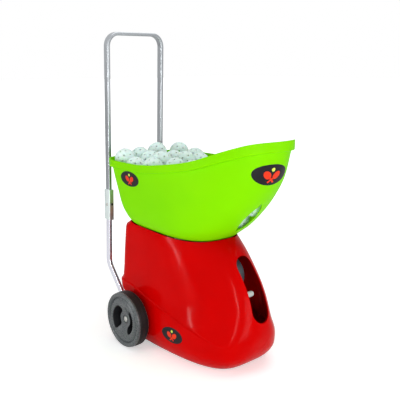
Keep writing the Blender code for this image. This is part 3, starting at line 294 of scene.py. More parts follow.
def surface(name, colour, roughness, tint, gloss, grain=None, scale=(1, 1, 1), **sockets):
    """A finish that changes a little from place to place.

    tint and gloss: the scale of a noise, and the two colours or roughnesses that it moves between.
    grain: the scale and detail of a noise, the depth of its bumps in metres, and their strength.
    """
    m = finish(name, colour, roughness, **sockets)
    coords = where(m, scale)
    if tint:
        vary(m, coords, *tint[:3], "Base Color", *tint[3:])
    vary(m, coords, *gloss)
    if grain:
        emboss(m, noise(m, coords, *grain[:2]), *grain[2:])
    return m


def red_polyethylene():
    """Polyethylene from a polished tool: deep gloss, faint orange peel, soft waves, a glow in thin walls."""
    m = surface("gloss_moulded_polyethylene", "#C60101", 0.2, (9.0, "#BC0101", "#D00101", 2.0),
                (60.0, 0.08, 0.14), specular_ior_level=0.03, subsurface_weight=0.2, subsurface_scale=0.012)
    coords = where(m)
    waves = noise(m, coords, 13.0, 1.0)
    peel = noise(m, coords, 210.0, 2.0)
    emboss(m, combine(m, 'MULTIPLY_ADD', peel, 0.05, waves), 0.0016)
    return m


def drawn_aluminium(name, colour, low, high):
    """Clear anodised extrusion: pale metal with fine lines along the tube."""
    return surface(name, colour, low, None, (1.0, low, high), (1.6, 2.0, 0.00002, 0.5), (900, 900, 5),
                   metallic=1.0)


def textured_plastic(name, colour, light, rough, grain=900.0, depth=0.00010):
    """Plastic from an etched tool: a fine even grain, drawn coarser than its 0.2 mm so that it shows."""
    m = surface(name, colour, rough, (25.0, colour, light), (200.0, rough - 0.06, rough + 0.08))
    dimples = add(m, "ShaderNodeTexVoronoi", {"Vector": where(m), "Scale": grain})
    emboss(m, (dimples, "Distance"), depth, 0.5)
    return m


def solder_mask():
    """Epoxy board under green solder mask, its copper tracks showing as paler lines."""
    m = finish("solder_mask_board", "#0C5A2C", 0.32)
    tracks = add(m, "ShaderNodeTexBrick", {"Vector": where(m, turn=(0, radians(90), 0)), "Scale": 90.0,
                                           "Color1": linear("#0C5A2C"), "Color2": linear("#0A4F26"),
                                           "Mortar": linear("#2E8A4E"), "Mortar Size": 0.06})
    drive(m, "Base Color", (tracks, "Color"))
    return m


def vinyl(name, colour, light):
    """Printed vinyl of the oval badges, under a clear gloss laminate."""
    return surface(name, colour, 0.38, (140.0, colour, light), (250.0, 0.32, 0.44), specular_ior_level=0.2)


looks = {
    "red_polyethylene": red_polyethylene(),
    # From an unpolished tool: satin, a little light passing through
    "lime_polyethylene": surface("satin_moulded_polyethylene", "#80DC00", 0.42,
                                 (5.0, "#78D600", "#88E200", 2.0), (90.0, 0.36, 0.48),
                                 (380.0, 3.0, 0.00012, 0.6), specular_ior_level=0.03, subsurface_weight=0.04),
    "brushed_aluminium": drawn_aluminium("drawn_anodised_aluminium", "#A6AAAE", 0.26, 0.38),
    "anodised_channel": drawn_aluminium("matt_anodised_channel", "#DCE6E4", 0.34, 0.48),
    # Not a slot of its own: the lower tubes get a lighter copy of the handle's aluminium, painted light, as
    # they are brighter than the handle
    "lower_tube": drawn_aluminium("bright_drawn_aluminium", "#E2E2EC", 0.2, 0.3),
    # Cool grey with a faint cloudy bloom
    "zinc_plated_steel": surface("zinc_plated_steel", "#B4B6B2", 0.34, (120.0, "#A3A6A3", "#C6C7C1"),
                                 (400.0, 0.28, 0.45), metallic=1.0),
    "grey_nylon": textured_plastic("moulded_grey_nylon", "#B4B9B6", "#C3C8C5", 0.42),
    "grey_polypropylene": textured_plastic("moulded_grey_polypropylene", "#43484A", "#4F5456", 0.28, 500.0),
    # Dull, dusty in places
    "black_rubber": surface("moulded_tyre_rubber", "#0B0C0D", 0.5, (35.0, "#08090A", "#101112", 5.0),
                            (120.0, 0.42, 0.6), (700.0, 2.0, 0.0001, 0.5), specular_ior_level=0.3),
    # Smooth, with lighter patches across the tread spaced round the wheel: painted glints
    "urethane_tyre": surface("cast_urethane", "#353D42", 0.42, (1.0, "#2A3136", "#4A545A"), (2.0, 0.32, 0.55),
                             None, (160, 14, 160)),
    "black_abs": textured_plastic("moulded_black_abs", "#17181A", "#1F2023", 0.45),
    # Sheet steel under a thin dark powder coat, with its fine pebbled skin
    "motor_steel": surface("powder_coated_steel", "#3A3C3F", 0.4, (60.0, "#323437", "#46484B"),
                           (300.0, 0.34, 0.5), (650.0, 2.0, 0.00008, 0.5), metallic=0.6),
    "green_board": solder_mask(),
    # Chalky mint white, soft sheen
    "mint_ball": surface("rotomoulded_ball_plastic", "#F0FFF5", 0.45, (30.0, "#E8FFF0", "#F8FFFA"),
                         (150.0, 0.4, 0.55), subsurface_weight=0.2, specular_ior_level=0.25),
    "white_acetal": textured_plastic("machined_white_acetal", "#DCDCD4", "#E6E6E0", 0.35, 300.0, 0.00004),
}
badge_black = vinyl("printed_black_vinyl", "#0E0B10", "#141017")
badge_red = vinyl("printed_vermilion_vinyl", "#DE2C08", "#E83A12")
badge_yellow = vinyl("printed_yellow_vinyl", "#D4EA4E", "#DEF062")
white_print = textured_plastic("white_screen_print", "#E4E4E0", "#EEEEEA", 0.5)
for node, obj in frame["nodes"].items():
    obj.data.materials.clear()
    obj.data.materials.append(looks[slot_of[node]])


# Modelling helpers

def take(*objs):
    bpy.ops.object.select_all(action='DESELECT')
    for obj in objs:
        obj.select_set(True)
    bpy.context.view_layer.objects.active = objs[0]


def named(name):
    bpy.context.object.name = name
    return bpy.context.object


def edit(obj, tool, **settings):
    """Runs a mesh tool on the whole of an object."""
    take(obj)
    bpy.ops.object.mode_set(mode='EDIT')
    bpy.ops.mesh.select_all(action='SELECT')
    tool(**settings)
    bpy.ops.object.mode_set(mode='OBJECT')
    return obj


def weld(obj):
    """Merges doubled points, drops loose ones and turns every face outwards."""
    edit(obj, bpy.ops.mesh.remove_doubles, threshold=1e-6)
    edit(obj, bpy.ops.mesh.delete_loose)
    return edit(obj, bpy.ops.mesh.normals_make_consistent, inside=False)


def fill_ends(obj):
    return weld(edit(obj, bpy.ops.mesh.fill_holes, sides=0))


def loft(name, rows, looped=False):
    """A skin through rows of points: a grid moved onto them, closed round each row or back to the first."""
    rows = [[*row, row[0]] for row in rows]
    if looped:
        rows.append(rows[0])
    bpy.ops.mesh.primitive_grid_add(x_subdivisions=len(rows[0]) - 1, y_subdivisions=len(rows) - 1)
    obj = named(name)
    for vertex, point in zip(obj.data.vertices, [p for row in rows for p in row]):
        vertex.co = point
    return weld(obj)


def spun(name, profile, steps=96, axis='Y', at=(0, 0, 0)):
    """A closed (radius, along) profile turned once round an axis with the spin tool."""
    bpy.ops.mesh.primitive_circle_add(vertices=len(profile))
    obj = named(name)
    for vertex, (r, h) in zip(obj.data.vertices, profile):
        vertex.co = {'X': (h, r, 0), 'Y': (r, h, 0), 'Z': (r, 0, h)}[axis]
    edit(obj, bpy.ops.mesh.spin, steps=steps, angle=2 * pi, center=(0, 0, 0),
         axis=[float(axis == a) for a in 'XYZ'])
    obj.data.transform(Matrix.Translation(at))
    return weld(obj)


def rod(radius, low, high, steps=24, axis='Y', at=(0, 0, 0)):
    """A round bar, for drilling holes."""
    return spun("drill_bar", ((0, low), (radius, low), (radius, high), (0, high)), steps, axis, at)


def both_sides(half):
    """A profile and its mirror image."""
    return half + [(r, -h) for r, h in reversed(half)]


def along(axis, a, b, c):
    return Vector({'X': (c, a, b), 'Y': (a, c, b), 'Z': (a, b, c)}[axis])


def plate(name, outline, low, high, axis='Z'):
    """An outline of (a, b) points, filled and extruded from low to high along an axis."""
    bpy.ops.mesh.primitive_circle_add(vertices=len(outline), fill_type='NGON')
    obj = named(name)
    for vertex, (a, b) in zip(obj.data.vertices, outline):
        vertex.co = along(axis, a, b, low)
    edit(obj, bpy.ops.mesh.extrude_region_move,
         TRANSFORM_OT_translate={"value": along(axis, 0, 0, high - low)})
    return weld(obj)


def block(name, low, high):
    middle, size = (Vector(low) + Vector(high)) / 2, Vector(high) - Vector(low)
    bpy.ops.mesh.primitive_cube_add(size=1, location=middle, scale=size)
    bpy.ops.object.transform_apply()
    return named(name)


def modify(obj, kind, **settings):
    take(obj)
    tool = obj.modifiers.new(kind.lower(), kind)
    for key, value in settings.items():
        setattr(tool, key, value)
    bpy.ops.object.modifier_apply(modifier=tool.name)
    return obj


def bevel(obj, width, segments, angle):
    return modify(obj, 'BEVEL', width=width, segments=segments, limit_method='ANGLE',
                  angle_limit=radians(angle))


def carve(obj, *cutters):
    for cutter in cutters:
        modify(obj, 'BOOLEAN', object=cutter, operation='DIFFERENCE', solver='EXACT')
        bpy.data.objects.remove(cutter)
    return obj


def join(name, objs):
    take(*objs)
    bpy.ops.object.join()
    return named(name)


def move(obj, matrix):
    obj.data.transform(matrix)
    return obj


def dress(obj, node=None, look=None, body=None, slot=None, angle=35):
    """Smooths a finished piece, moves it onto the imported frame, gives its finish and rides it on its body."""
    take(obj)
    bpy.ops.object.shade_smooth_by_angle(angle=radians(angle))
    move(obj, Matrix.Translation((SHIFT, 0, 0)))
    slot = slot or slot_of[node]
    obj.data.materials.clear()
    obj.data.materials.append(look or looks[slot])
    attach(obj, body or body_of[node])
    if node:
        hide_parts(node)
    return obj


def arc(centre, radius, start, end, steps):
    return [(centre[0] + radius * cos(start + (end - start) * k / steps),
             centre[1] + radius * sin(start + (end - start) * k / steps)) for k in range(steps + 1)]


def smooth(table, at):
    """Monotone curve through the (position, value) pairs of a table."""
    xs = [p[0] for p in table]
    ys = [p[1] for p in table]
    if at <= xs[0]:
        return ys[0]
    if at >= xs[-1]:
        return ys[-1]
    steps = [(ys[i + 1] - ys[i]) / (xs[i + 1] - xs[i]) for i in range(len(xs) - 1)]
    slopes = [steps[0]]
    for before, after in zip(steps, steps[1:]):
        slopes.append(0.0 if before * after <= 0 else 2 * before * after / (before + after))
    slopes.append(steps[-1])
    i = max(k for k in range(len(xs) - 1) if xs[k] <= at)
    width = xs[i + 1] - xs[i]
    t = (at - xs[i]) / width
    return ((2 * t**3 - 3 * t**2 + 1) * ys[i] + (t**3 - 2 * t**2 + t) * width * slopes[i]
            + (3 * t**2 - 2 * t**3) * ys[i + 1] + (t**3 - t**2) * width * slopes[i + 1])


# Plan outlines of the body and hopper

CORNER_INSET = 0.02             # a corner's radius shrinks with its wall by no more than this


def outline(rear, nose, half, corner, middle, blunt, inset):
    """From the middle of the rear round the +Y side to the nose and back, as (x, y) pairs."""
    rear_steps, corner_steps, side_steps, front_steps = 5, 9, 3, 46
    rear, nose, half = rear + inset, nose - inset, half - inset
    corner = min(corner - min(inset, CORNER_INSET), 0.9 * (middle - rear))
    points = [(rear, (half - corner) * k / rear_steps) for k in range(rear_steps + 1)]
    for k in range(1, corner_steps + 1):
        a = k * pi / 2 / corner_steps
        points.append((rear + corner - corner * cos(a), half - corner + corner * sin(a)))
    for k in range(1, side_steps):
        points.append((rear + corner + (middle - rear - corner) * k / side_steps, half))
    for k in range(front_steps + 1):
        a = k * pi / 2 / front_steps
        s, c = sin(a), max(cos(a), 0.0)
        rho = (s**blunt + c**blunt) ** (-1 / blunt)
        points.append((middle + (nose - middle) * rho * s, half * rho * c if k < front_steps else 0.0))
    return points + [(x, -y) for x, y in reversed(points[1:-1])]


def body_outline(z, inset=0.0):
    return outline(smooth(BODY_REAR, z), smooth(BODY_NOSE, z), smooth(BODY_HALF, z), BODY_CORNER,
                   BODY_MID_X, smooth(BODY_BLUNT, z), inset)


def hopper_outline(level, inset=0.0):
    return outline(smooth(HOPPER_REAR, level), smooth(HOPPER_NOSE, level), smooth(HOPPER_HALF, level),
                   HOPPER_CORNER, HOPPER_MID_X, HOPPER_BLUNT, inset)


def rim_lift(level, x):
    """How far the rising rim lifts a level of the hopper at x."""
    if level <= RISE_START:
        return 0.0
    share = min(1.0, (level - RISE_START) / (WALL_TOP - RISE_START))
    return smooth(RIM_RISE, x) * share**1.3


def hopper_row(level, inset=0.0, up=0.0):
    return [Vector((x, y, level + up + rim_lift(level, x))) for x, y in hopper_outline(level, inset)]


def steps_between(low, high, count, power):
    return [low + (high - low) * (k / count)**power for k in range(count + 1)]


# Body

def bowl_cutter(clearance):
    rows = [[p - Vector((0, 0, clearance)) for p in hopper_row(level, -clearance)]
            for level in steps_between(HOPPER_BASE, 0.56, 34, 1.7)]
    return fill_ends(loft("bowl_cutter", rows))


def slot_outline():
    return (arc((0.0, SLOT_HIGH - SLOT_TOP_HALF), SLOT_TOP_HALF, 0.0, pi, 24)
            + arc((0.0, SLOT_LOW + SLOT_HALF), SLOT_HALF, pi, 2 * pi, 24))


def body_moulding():
    base = [x for x, _ in body_outline(0.15)]
    crease = [smooth(CREASE, x) for x in base]

    def row(share, upper, inset):
        """One ring: above the crease it runs up to the top, below it down to the ground edge."""
        points = []
        for k, at_crease in enumerate(crease):
            bottom = BODY_BOTTOM + REAR_LIFT * smooth(REAR_LIFT_ENDS, base[k])
            low, high = (at_crease, BODY_TOP - inset) if upper else (bottom, at_crease)
            z = low + (high - low) * share
            x, y = body_outline(z, inset)[k]
            off = z - at_crease
            share_out = max(0.0, 1 - off / RIDGE_ABOVE) if off > 0 else max(0.0, 1 + off / RIDGE_BELOW)**2
            ridge = 0.0 if inset else CREASE_RIDGE * share_out * smooth(CREASE_FADE, x)
            x = BODY_MID_X + (x - BODY_MID_X) * (1 + ridge / (smooth(BODY_NOSE, z) - BODY_MID_X))
            points.append(Vector((x, y * (1 + ridge / smooth(BODY_HALF, z)), z)))
        return points

    below = (0.0, 0.02, 0.05, 0.1, 0.17, 0.25, 0.34, 0.43, 0.52, 0.60, 0.67, 0.72, 0.75, 0.78, 0.80, 0.82,
             0.84, 0.86, 0.89, 0.92, 0.95, 0.98, 0.995)
    above = (0.0, 0.004, 0.010, 0.016, 0.022, 0.035, 0.05, 0.065, 0.08, 0.11, 0.15, 0.19, 0.24, 0.29, 0.34,
             0.40, 0.46, 0.52, 0.58, 0.64, 0.70, 0.76, 0.80, 0.84, 0.87, 0.89, 0.91, 0.93, 0.95, 0.97, 1.0)
    outside = [row(s, False, 0.0) for s in below] + [row(s, True, 0.0) for s in above]
    inside = [row(s, False, BODY_WALL) for s in below[::2]] + [row(s, True, BODY_WALL) for s in above[::2]]
    shell = fill_ends(loft("body_moulding", outside[::-1] + inside))
    slot = plate("slot_cutter", slot_outline(), 0.27, 0.56, 'X')
    axle = rod(AXLE_HOLE_R, -FAR, FAR, 32, 'Y', (0, 0, WHEEL_R))
    u, v = PANEL_WINDOW
    window = move(block("panel_cutter", (-u, -v, -0.03), (u, v, 0.03)), PANEL)
    carve(shell, bowl_cutter(BOWL_CLEARANCE), slot, axle, window)
    return dress(shell, "body_shell", angle=32)


# Hopper

RIM_PROFILE = mm((5, 0.3), (8.5, 1), (10.4, 2.2), (11, 4.2), (11.2, 12), (11.4, 23), (11.6, 26.2),
                 (11.3, 27.3), (10.5, 27.9), (9.3, 28), (8.3, 27.7), (7.7, 26.8), (7.5, 24), (7.3, 10),
                 (6.8, 6), (5.2, 4.2), (2, 3.8), (-1.8, 3.6))


def hopper_moulding():
    levels = steps_between(HOPPER_BASE, WALL_TOP, 44, 1.5)
    outside = [hopper_row(level) for level in levels]
    rim = []
    for out, up in RIM_PROFILE:
        share = max(0.0, (up - 0.004) / (RIM_BAND - 0.004))
        row = hopper_row(WALL_TOP, -out, up)
        rim.append([p + Vector((0, 0, share * smooth(BAND_GROWTH, p.x))) for p in row])
    inside = []
    for level in levels[::-2]:
        rise = HOPPER_WALL * max(0.0, 1 - (level - HOPPER_BASE) / 0.06)
        inside.append(hopper_row(level, HOPPER_WALL, rise))
    bowl = loft("hopper_moulding", outside + rim + inside, looped=True)
    throat = rod(THROAT_R, THROAT_LOW, THROAT_HIGH, 96, 'Z', (THROAT_X, 0, 0))
    bend = (WINDOW_HALF_LENGTH**2 + WINDOW_HALF_WIDTH**2) / (2 * WINDOW_HALF_WIDTH)
    reach = atan2(WINDOW_HALF_LENGTH, bend - WINDOW_HALF_WIDTH)
    lens = (arc((0.0, WINDOW_HALF_WIDTH - bend), bend, pi / 2 - reach, pi / 2 + reach, 28)[:-1]
            + arc((0.0, bend - WINDOW_HALF_WIDTH), bend, -pi / 2 - reach, -pi / 2 + reach, 28)[:-1])
    window = move(plate("window_cutter", lens, -0.05, 0.06),
                  Matrix.Translation(WINDOW_CENTRE) @ Matrix.Rotation(-WINDOW_SLOPE, 4, 'Y'))
    carve(bowl, throat, window)
    return dress(bowl, "hopper", angle=32)


# Balls

def perforated_ball():
    """A hollow ball with the 42 round holes that the points of a coarse icosphere place."""
    bpy.ops.mesh.primitive_ico_sphere_add(subdivisions=2, radius=BALL_R)
    coarse = bpy.context.object
    spots = [v.co.normalized() for v in coarse.data.vertices]
    bpy.data.objects.remove(coarse)
    bpy.ops.mesh.primitive_ico_sphere_add(subdivisions=4, radius=BALL_R - BALL_WALL)
    hollow = named("hollow")
    bpy.ops.mesh.primitive_ico_sphere_add(subdivisions=5, radius=BALL_R)
    ball = named("ball_pattern")
    drills = []
    for spot in spots:
        bpy.ops.mesh.primitive_cylinder_add(vertices=14, radius=BALL_HOLE, depth=DRILL_DEPTH,
                                            location=spot * BALL_R,
                                            rotation=spot.to_track_quat('Z', 'Y').to_euler())
        bpy.ops.object.transform_apply()
        drills.append(named("drill"))
    return carve(ball, hollow, join("drills", drills))


def loose_balls(wall):
    """The balls seen in the photograph, and under them as many as the bowl holds, in staggered layers."""
    rng = random.Random(7)
    skin = BVHTree.FromObject(wall, bpy.context.evaluated_depsgraph_get())
    places = [Vector(p) for p in HEAP + WINDOW_BALLS]
    spots = []
    for layer in range(4):
        z = STACK_TOP - layer * LAYER_HEIGHT
        for i in range(-2, 8):
            for j in range(-3, 4):
                x = STACK_START + i * STACK_PITCH + (0.5 * STACK_PITCH if (j + layer) % 2 else 0.0)
                y = j * STACK_PITCH * ROW_SHARE + (STACK_PITCH * LAYER_SHIFT if layer % 2 else 0.0)
                spots.append(Vector([value + rng.uniform(-LOOSENESS, LOOSENESS) for value in (x, y, z)]))
    for spot in spots:
        if spot.z > smooth(LOAD_TOP, spot.x) - 0.005:
            continue
        near = skin.find_nearest(spot + Vector((SHIFT, 0, 0)))
        inside = near[1].dot(BOWL_MIDDLE - near[0]) > 0 and (near[0] - BOWL_MIDDLE).length > 0.03
        if not inside or near[3] < BALL_R + BALL_GAP or spot.z < STACK_LOW:
            continue
        if all((spot - p).length > 2 * BALL_R - 0.0005 for p in places):
            places.append(spot)
    return places


def ball_heap(wall):
    pattern = perforated_ball()
    rng = random.Random(3)
    for number, spot in enumerate(loose_balls(wall)):
        ball = pattern.copy()
        ball.data = pattern.data.copy()
        ball.name = f"ball_{number:02d}"
        bpy.context.scene.collection.objects.link(ball)
        angle = rng.uniform(0, 2 * pi)
        turn = Matrix.Rotation(angle, 4, Vector([rng.gauss(0, 1) for _ in range(3)]))
        move(ball, Matrix.Translation(spot) @ turn)
        dress(ball, "ball_load", angle=50)
    bpy.data.objects.remove(pattern)


# Badges: thin ovals laid on the moulding

BADGE_THICK = 0.0003
PADDLE_LEAN = radians(48)
PADDLE_DROP = 0.42


def oval(half_a, half_b, a=0.0, b=0.0):
    """A square's points drawn in to an oval."""
    return lambda u, v: (a + half_a * u * sqrt(1 - v * v / 2), b + half_b * v * sqrt(1 - u * u / 2))


def bar(half_a, half_b, a=0.0, b=0.0):
    return lambda u, v: (a + half_a * u, b + half_b * v)


def turned(shape, angle, drop):
    def place(u, v):
        a, b = shape(u, v)
        return a * cos(angle) - b * sin(angle), a * sin(angle) + b * cos(angle) - drop
    return place


def laid(name, seat, shape, on, lift, steps):
    """A grid drawn to a shape in the plane of a seat, pressed on to a moulding and thickened."""
    bpy.ops.mesh.primitive_grid_add(x_subdivisions=steps, y_subdivisions=steps, size=2)
    obj = named(name)
    for vertex in obj.data.vertices:
        a, b = shape(vertex.co.x, vertex.co.y)
        vertex.co = (a, b, 0)
    obj.matrix_world = seat
    modify(obj, 'SHRINKWRAP', target=on, wrap_method='PROJECT', use_project_z=True,
           use_positive_direction=False, use_negative_direction=True, offset=lift)
    bpy.ops.object.transform_apply()
    return modify(obj, 'SOLIDIFY', thickness=BADGE_THICK, offset=1)


def badge(name, centre, out, up, half_a, half_b, on, node):
    """Black oval with a plain motif of crossed paddles and a ball, in the photograph's colours."""
    out = Vector(out).normalized()
    side = Vector(up).cross(out).normalized()
    seat = Matrix((side, out.cross(side), out)).transposed().to_4x4()
    seat.translation = Vector(centre) + Vector((SHIFT, 0, 0)) + out * 0.03
    s = half_b      # the motif is drawn in shares of the oval's half height
    shapes = [("oval", badge_black, oval(half_a, half_b), 0.0001, 40)]
    for tag, lean, lift in (("left", PADDLE_LEAN, 0.0005), ("right", -PADDLE_LEAN, 0.0009)):
        blade = turned(oval(0.32 * s, 0.44 * s, 0.0, 0.62 * s), lean, PADDLE_DROP * s)
        grip = turned(bar(0.085 * s, 0.34 * s, 0.0, -0.08 * s), lean, PADDLE_DROP * s)
        shapes.append((f"{tag}_blade", badge_red, blade, lift, 16))
        shapes.append((f"{tag}_grip", badge_red, grip, lift, 10))
    shapes.append(("ball", badge_yellow, oval(0.17 * s, 0.17 * s, 0.0, 0.52 * s), 0.0005, 12))
    for tag, look, shape, lift, steps in shapes:
        piece = laid(f"{name}_{tag}", seat, shape, on, lift, steps)
        move(piece, Matrix.Translation((-SHIFT, 0, 0)))
        dress(piece, look=look, body=body_of[node], slot=slot_of[node], angle=40)


# Carrying wheels

def wheel_opening(turn, inset=0.0):
    """Outline of a pocket: a round end at its start, an outer edge that swells, a straight end."""
    near_r, start_r, corner = OPENING_R_IN + inset, OPENING_FLARE[0][1] - inset, OPENING_CORNER
    middle, half = (near_r + start_r) / 2, (start_r - near_r) / 2
    first = turn + OPENING_START + (half + inset) / middle
    last = turn + OPENING_END - inset / middle
    edge = arc((middle * cos(first), middle * sin(first)), half, first + pi, first + 2 * pi, 20)
    far_r = smooth(OPENING_FLARE, last - first) - inset
    for k in range(1, 29):
        swing = (last - first - corner / far_r) * k / 28
        r = smooth(OPENING_FLARE, swing) - inset
        edge.append((r * cos(first + swing), r * sin(first + swing)))
    for r in (far_r - corner, near_r + corner):
        edge.append((r * cos(last), r * sin(last)))
    return edge + arc((0, 0), near_r, last - corner / near_r, first, 20)[:-1]


HUB_PROFILE = mm((6.7, -7.5), (14.6, -7.5), (15, -7.9), (15.2, -10.4), (15.8, -11), (17.2, -11),
                 (18.5, -10.7), (22, -11.2), (30, -13), (38, -15.5), (45, -18), (52, -20.8), (58, -23.2),
                 (62, -24.4), (66, -25), (70, -24.9), (74, -24), (78, -22.2), (80.5, -20.6), (82, -19.2),
                 (83.2, -18.9), (84, -20), (85.2, -22.8), (87.2, -24.7), (89.8, -25.9), (92.8, -26.2),
                 (95.8, -25.8), (98.2, -24.5), (99.6, -22.4), (100.2, -19.8), (100.2, -16.8),
                 (92.7, -16.8), (92.7, 16.8), (98.8, 16.8), (98.5, 18.4), (97, 20), (94, 21),
                 (82.5, 20.8), (81.2, 20), (79, 15.6), (77.5, 15), (24.5, 15), (23.2, 15.5), (22, 20),
                 (21.2, 20.6), (6.7, 20.6))
TYRE_PROFILE = both_sides(mm((93, -16.5), (99, -16.5), (100.2, -16), (100.8, -14.8), (101.1, -13),
                             (101.1, -9.6), (100.1, -9), (100.1, -7.8), (101.1, -7.2), (101.1, -1),
                             (101.6, -0.6)))
DISC = HUB_PROFILE[6:16]
# Where the painted-shade liner stops short of the hub's face
LINER_EDGE = ([(0.0, -0.05), (0.0, DISC[0][1])] + [(r, h + LINER_SET_BACK) for r, h in DISC]
              + [(0.075, -0.05)])
NUT_PROFILE = mm((0, 217.8), (6.7, 217.8), (6.7, 214.8), (10.4, 214.8), (10.4, 218.3), (9.9, 218.8),
                 (8.2, 219.1), (7.9, 219.7), (7, 220), (3.4, 220.1), (3, 219.6), (0, 219.6))


def carrying_wheels():
    """Built for the right side, outer face at -Y; the left one is the same wheel turned half round."""
    for side, sign in SIDES:
        seat = Matrix.Translation((0, sign * WHEEL_MID_Y, WHEEL_R))
        seat = seat @ Matrix.Rotation(pi if sign > 0 else 0, 4, 'Z')
        tyre = spun(f"tread_band_{side}", TYRE_PROFILE, 128)
        dress(move(tyre, seat), f"tyre_{side}", angle=30)
        hub = spun(f"dished_hub_{side}", HUB_PROFILE, 128)
        liners = []
        for half in (0.0, pi):
            carve(hub, plate("pocket_cutter", wheel_opening(half), POCKET_FRONT, POCKET_BACK, 'Y'))
            # Each pocket gets a dark liner in the black ABS look: painted shade standing where the pocket lies
            # in shadow
            liner = plate("pocket_liner", wheel_opening(half, GAP), POCKET_FRONT, POCKET_BACK - GAP, 'Y')
            carve(liner, spun("room_before_face", LINER_EDGE, 128))
            hollow = plate("liner_hollow", wheel_opening(half, LINER_WALL), POCKET_FRONT - 0.01,
                           POCKET_BACK - LINER_WALL, 'Y')
            for r in LINER_RIBS:
                rib = ((r - RIB_HALF, RIB_FRONT), (r + RIB_HALF, RIB_FRONT), (r + 0.0012, 0.02),
                       (r - 0.0012, 0.02))
                carve(hollow, spun("liner_rib", rib, 96))
            liners.append(carve(liner, hollow))
        dress(move(join(f"pocket_liners_{side}", liners), seat), body=f"wheel_{side}", slot="black_abs")
        bevel(hub, 0.0007, 2, 50)
        dress(move(hub, seat), f"wheel_hub_{side}", angle=32)
        nut = spun(f"cap_nut_{side}", NUT_PROFILE, 48)
        flip = Matrix.Rotation(0 if sign > 0 else pi, 4, 'Z')
        dress(move(nut, Matrix.Translation((0, 0, WHEEL_R)) @ flip), f"axle_nut_{side}", angle=32)


# Handle

def rounded(half_a, half_b, radius, steps=4):
    """Rounded rectangle of (a, b) points."""
    points = []
    for sa, sb, start in ((1, 1, 0.0), (-1, 1, pi / 2), (-1, -1, pi), (1, -1, 3 * pi / 2)):
        points += arc((sa * (half_a - radius), sb * (half_b - radius)), radius, start, start + pi / 2, steps)
    return points


def flat_tube(name, path):
    """A flat tube with rounded edges along (point, narrow direction, broad direction, share of its depth)."""
    rows = []
    for point, narrow, broad, share in path:
        half = TUBE_X * share
        section = rounded(TUBE_Y, half, min(TUBE_ROUND, half * 0.9))
        rows.append([point + narrow * a + broad * b for a, b in section])
    return fill_ends(loft(name, rows))


def handle():
    top = (HANDLE_TOP - PIN_Z) / cos(LEAN) - TUBE_Y
    radius = HANDLE_CORNER - TUBE_Y
    broad, across = Vector((1, 0, 0)), Vector((0, 1, 0))
    ends = [(sin(k * pi / 20), -TUBE_X * cos(k * pi / 20)) for k in range(1, 11)]
    path = [(Vector((0, -POST_Y, z)), across, broad, max(share, 0.2)) for share, z in ends]
    path += [(Vector((0, -POST_Y, z)), across, broad, 1.0) for z in (0.05, 0.2, 0.4)]
    for side, start in ((-1, pi), (1, pi / 2)):
        centre = Vector((0, side * (POST_Y - radius), top - radius))
        for k in range(15):
            a = start - k * pi / 28
            out = Vector((0, cos(a), sin(a)))
            path.append((centre + out * radius, -out, broad, 1.0))
    path += [(Vector((0, POST_Y, z)), -across, broad, 1.0) for z in (0.4, 0.2, 0.05)]
    path += [(Vector((0, POST_Y, z)), -across, broad, max(share, 0.2)) for share, z in reversed(ends)]
    tube = flat_tube("folding_handle", path)
    carve(tube, rod(PIN_HOLE_R, -FAR, FAR))
    dress(move(tube, PIVOT), "handle_bar", angle=30)


def hinges():
    for side, sign in SIDES:
        y, half, web, back = sign * POST_Y, TUBE_Y + TUBE_PLAY, TUBE_X + WEB_GAP, CHANNEL_BACK
        low, high = CHANNEL_LOW - PIN_Z, CHANNEL_HIGH - PIN_Z
        section = [(back, y - half - CHANNEL_WALL), (web + CHANNEL_WALL, y - half - CHANNEL_WALL),
                   (web + CHANNEL_WALL, y + half + CHANNEL_WALL), (back, y + half + CHANNEL_WALL),
                   (back, y + half), (web, y + half), (web, y - half), (back, y - half)]
        channel = plate(f"hinge_sleeve_{side}", section, low, high)
        bevel(channel, 0.0011, 3, 60)
        carve(channel, rod(PIN_HOLE_R, -FAR, FAR), rod(BUTTON_R + GAP, 0.0, 0.05, 24, 'X', (0, y, BUTTON_Z)))
        dress(move(channel, PIVOT), f"hinge_channel_{side}", angle=40)
        reach = half + CHANNEL_WALL
        head = ((0.0, 0.0022), (0.0030, 0.0021), (0.0050, 0.0016), (0.0062, 0.0007), (0.0065, GAP))
        rivet = both_sides([(r, -reach - h) for r, h in head] + [(0.0038, -reach - GAP)])
        dress(move(spun(f"hinge_rivet_{side}", rivet, 32, 'Y', (0, y, 0)), PIVOT), f"hinge_pin_{side}")
        face = web + CHANNEL_WALL + BUTTON_TRAVEL
        button = ((0.0, web - GAP), (BUTTON_R, web - GAP), (BUTTON_R, face + GAP),
                  (BUTTON_HEAD_R, face + GAP), (BUTTON_HEAD_R, face + 0.0014), (0.0042, face + 0.0022),
                  (0.0025, face + 0.0026), (0.0, face + 0.0026))
        button = spun(f"spring_button_{side}", button, 32, 'X', (0, y, BUTTON_Z))
        dress(move(button, PIVOT), f"lock_button_{side}")


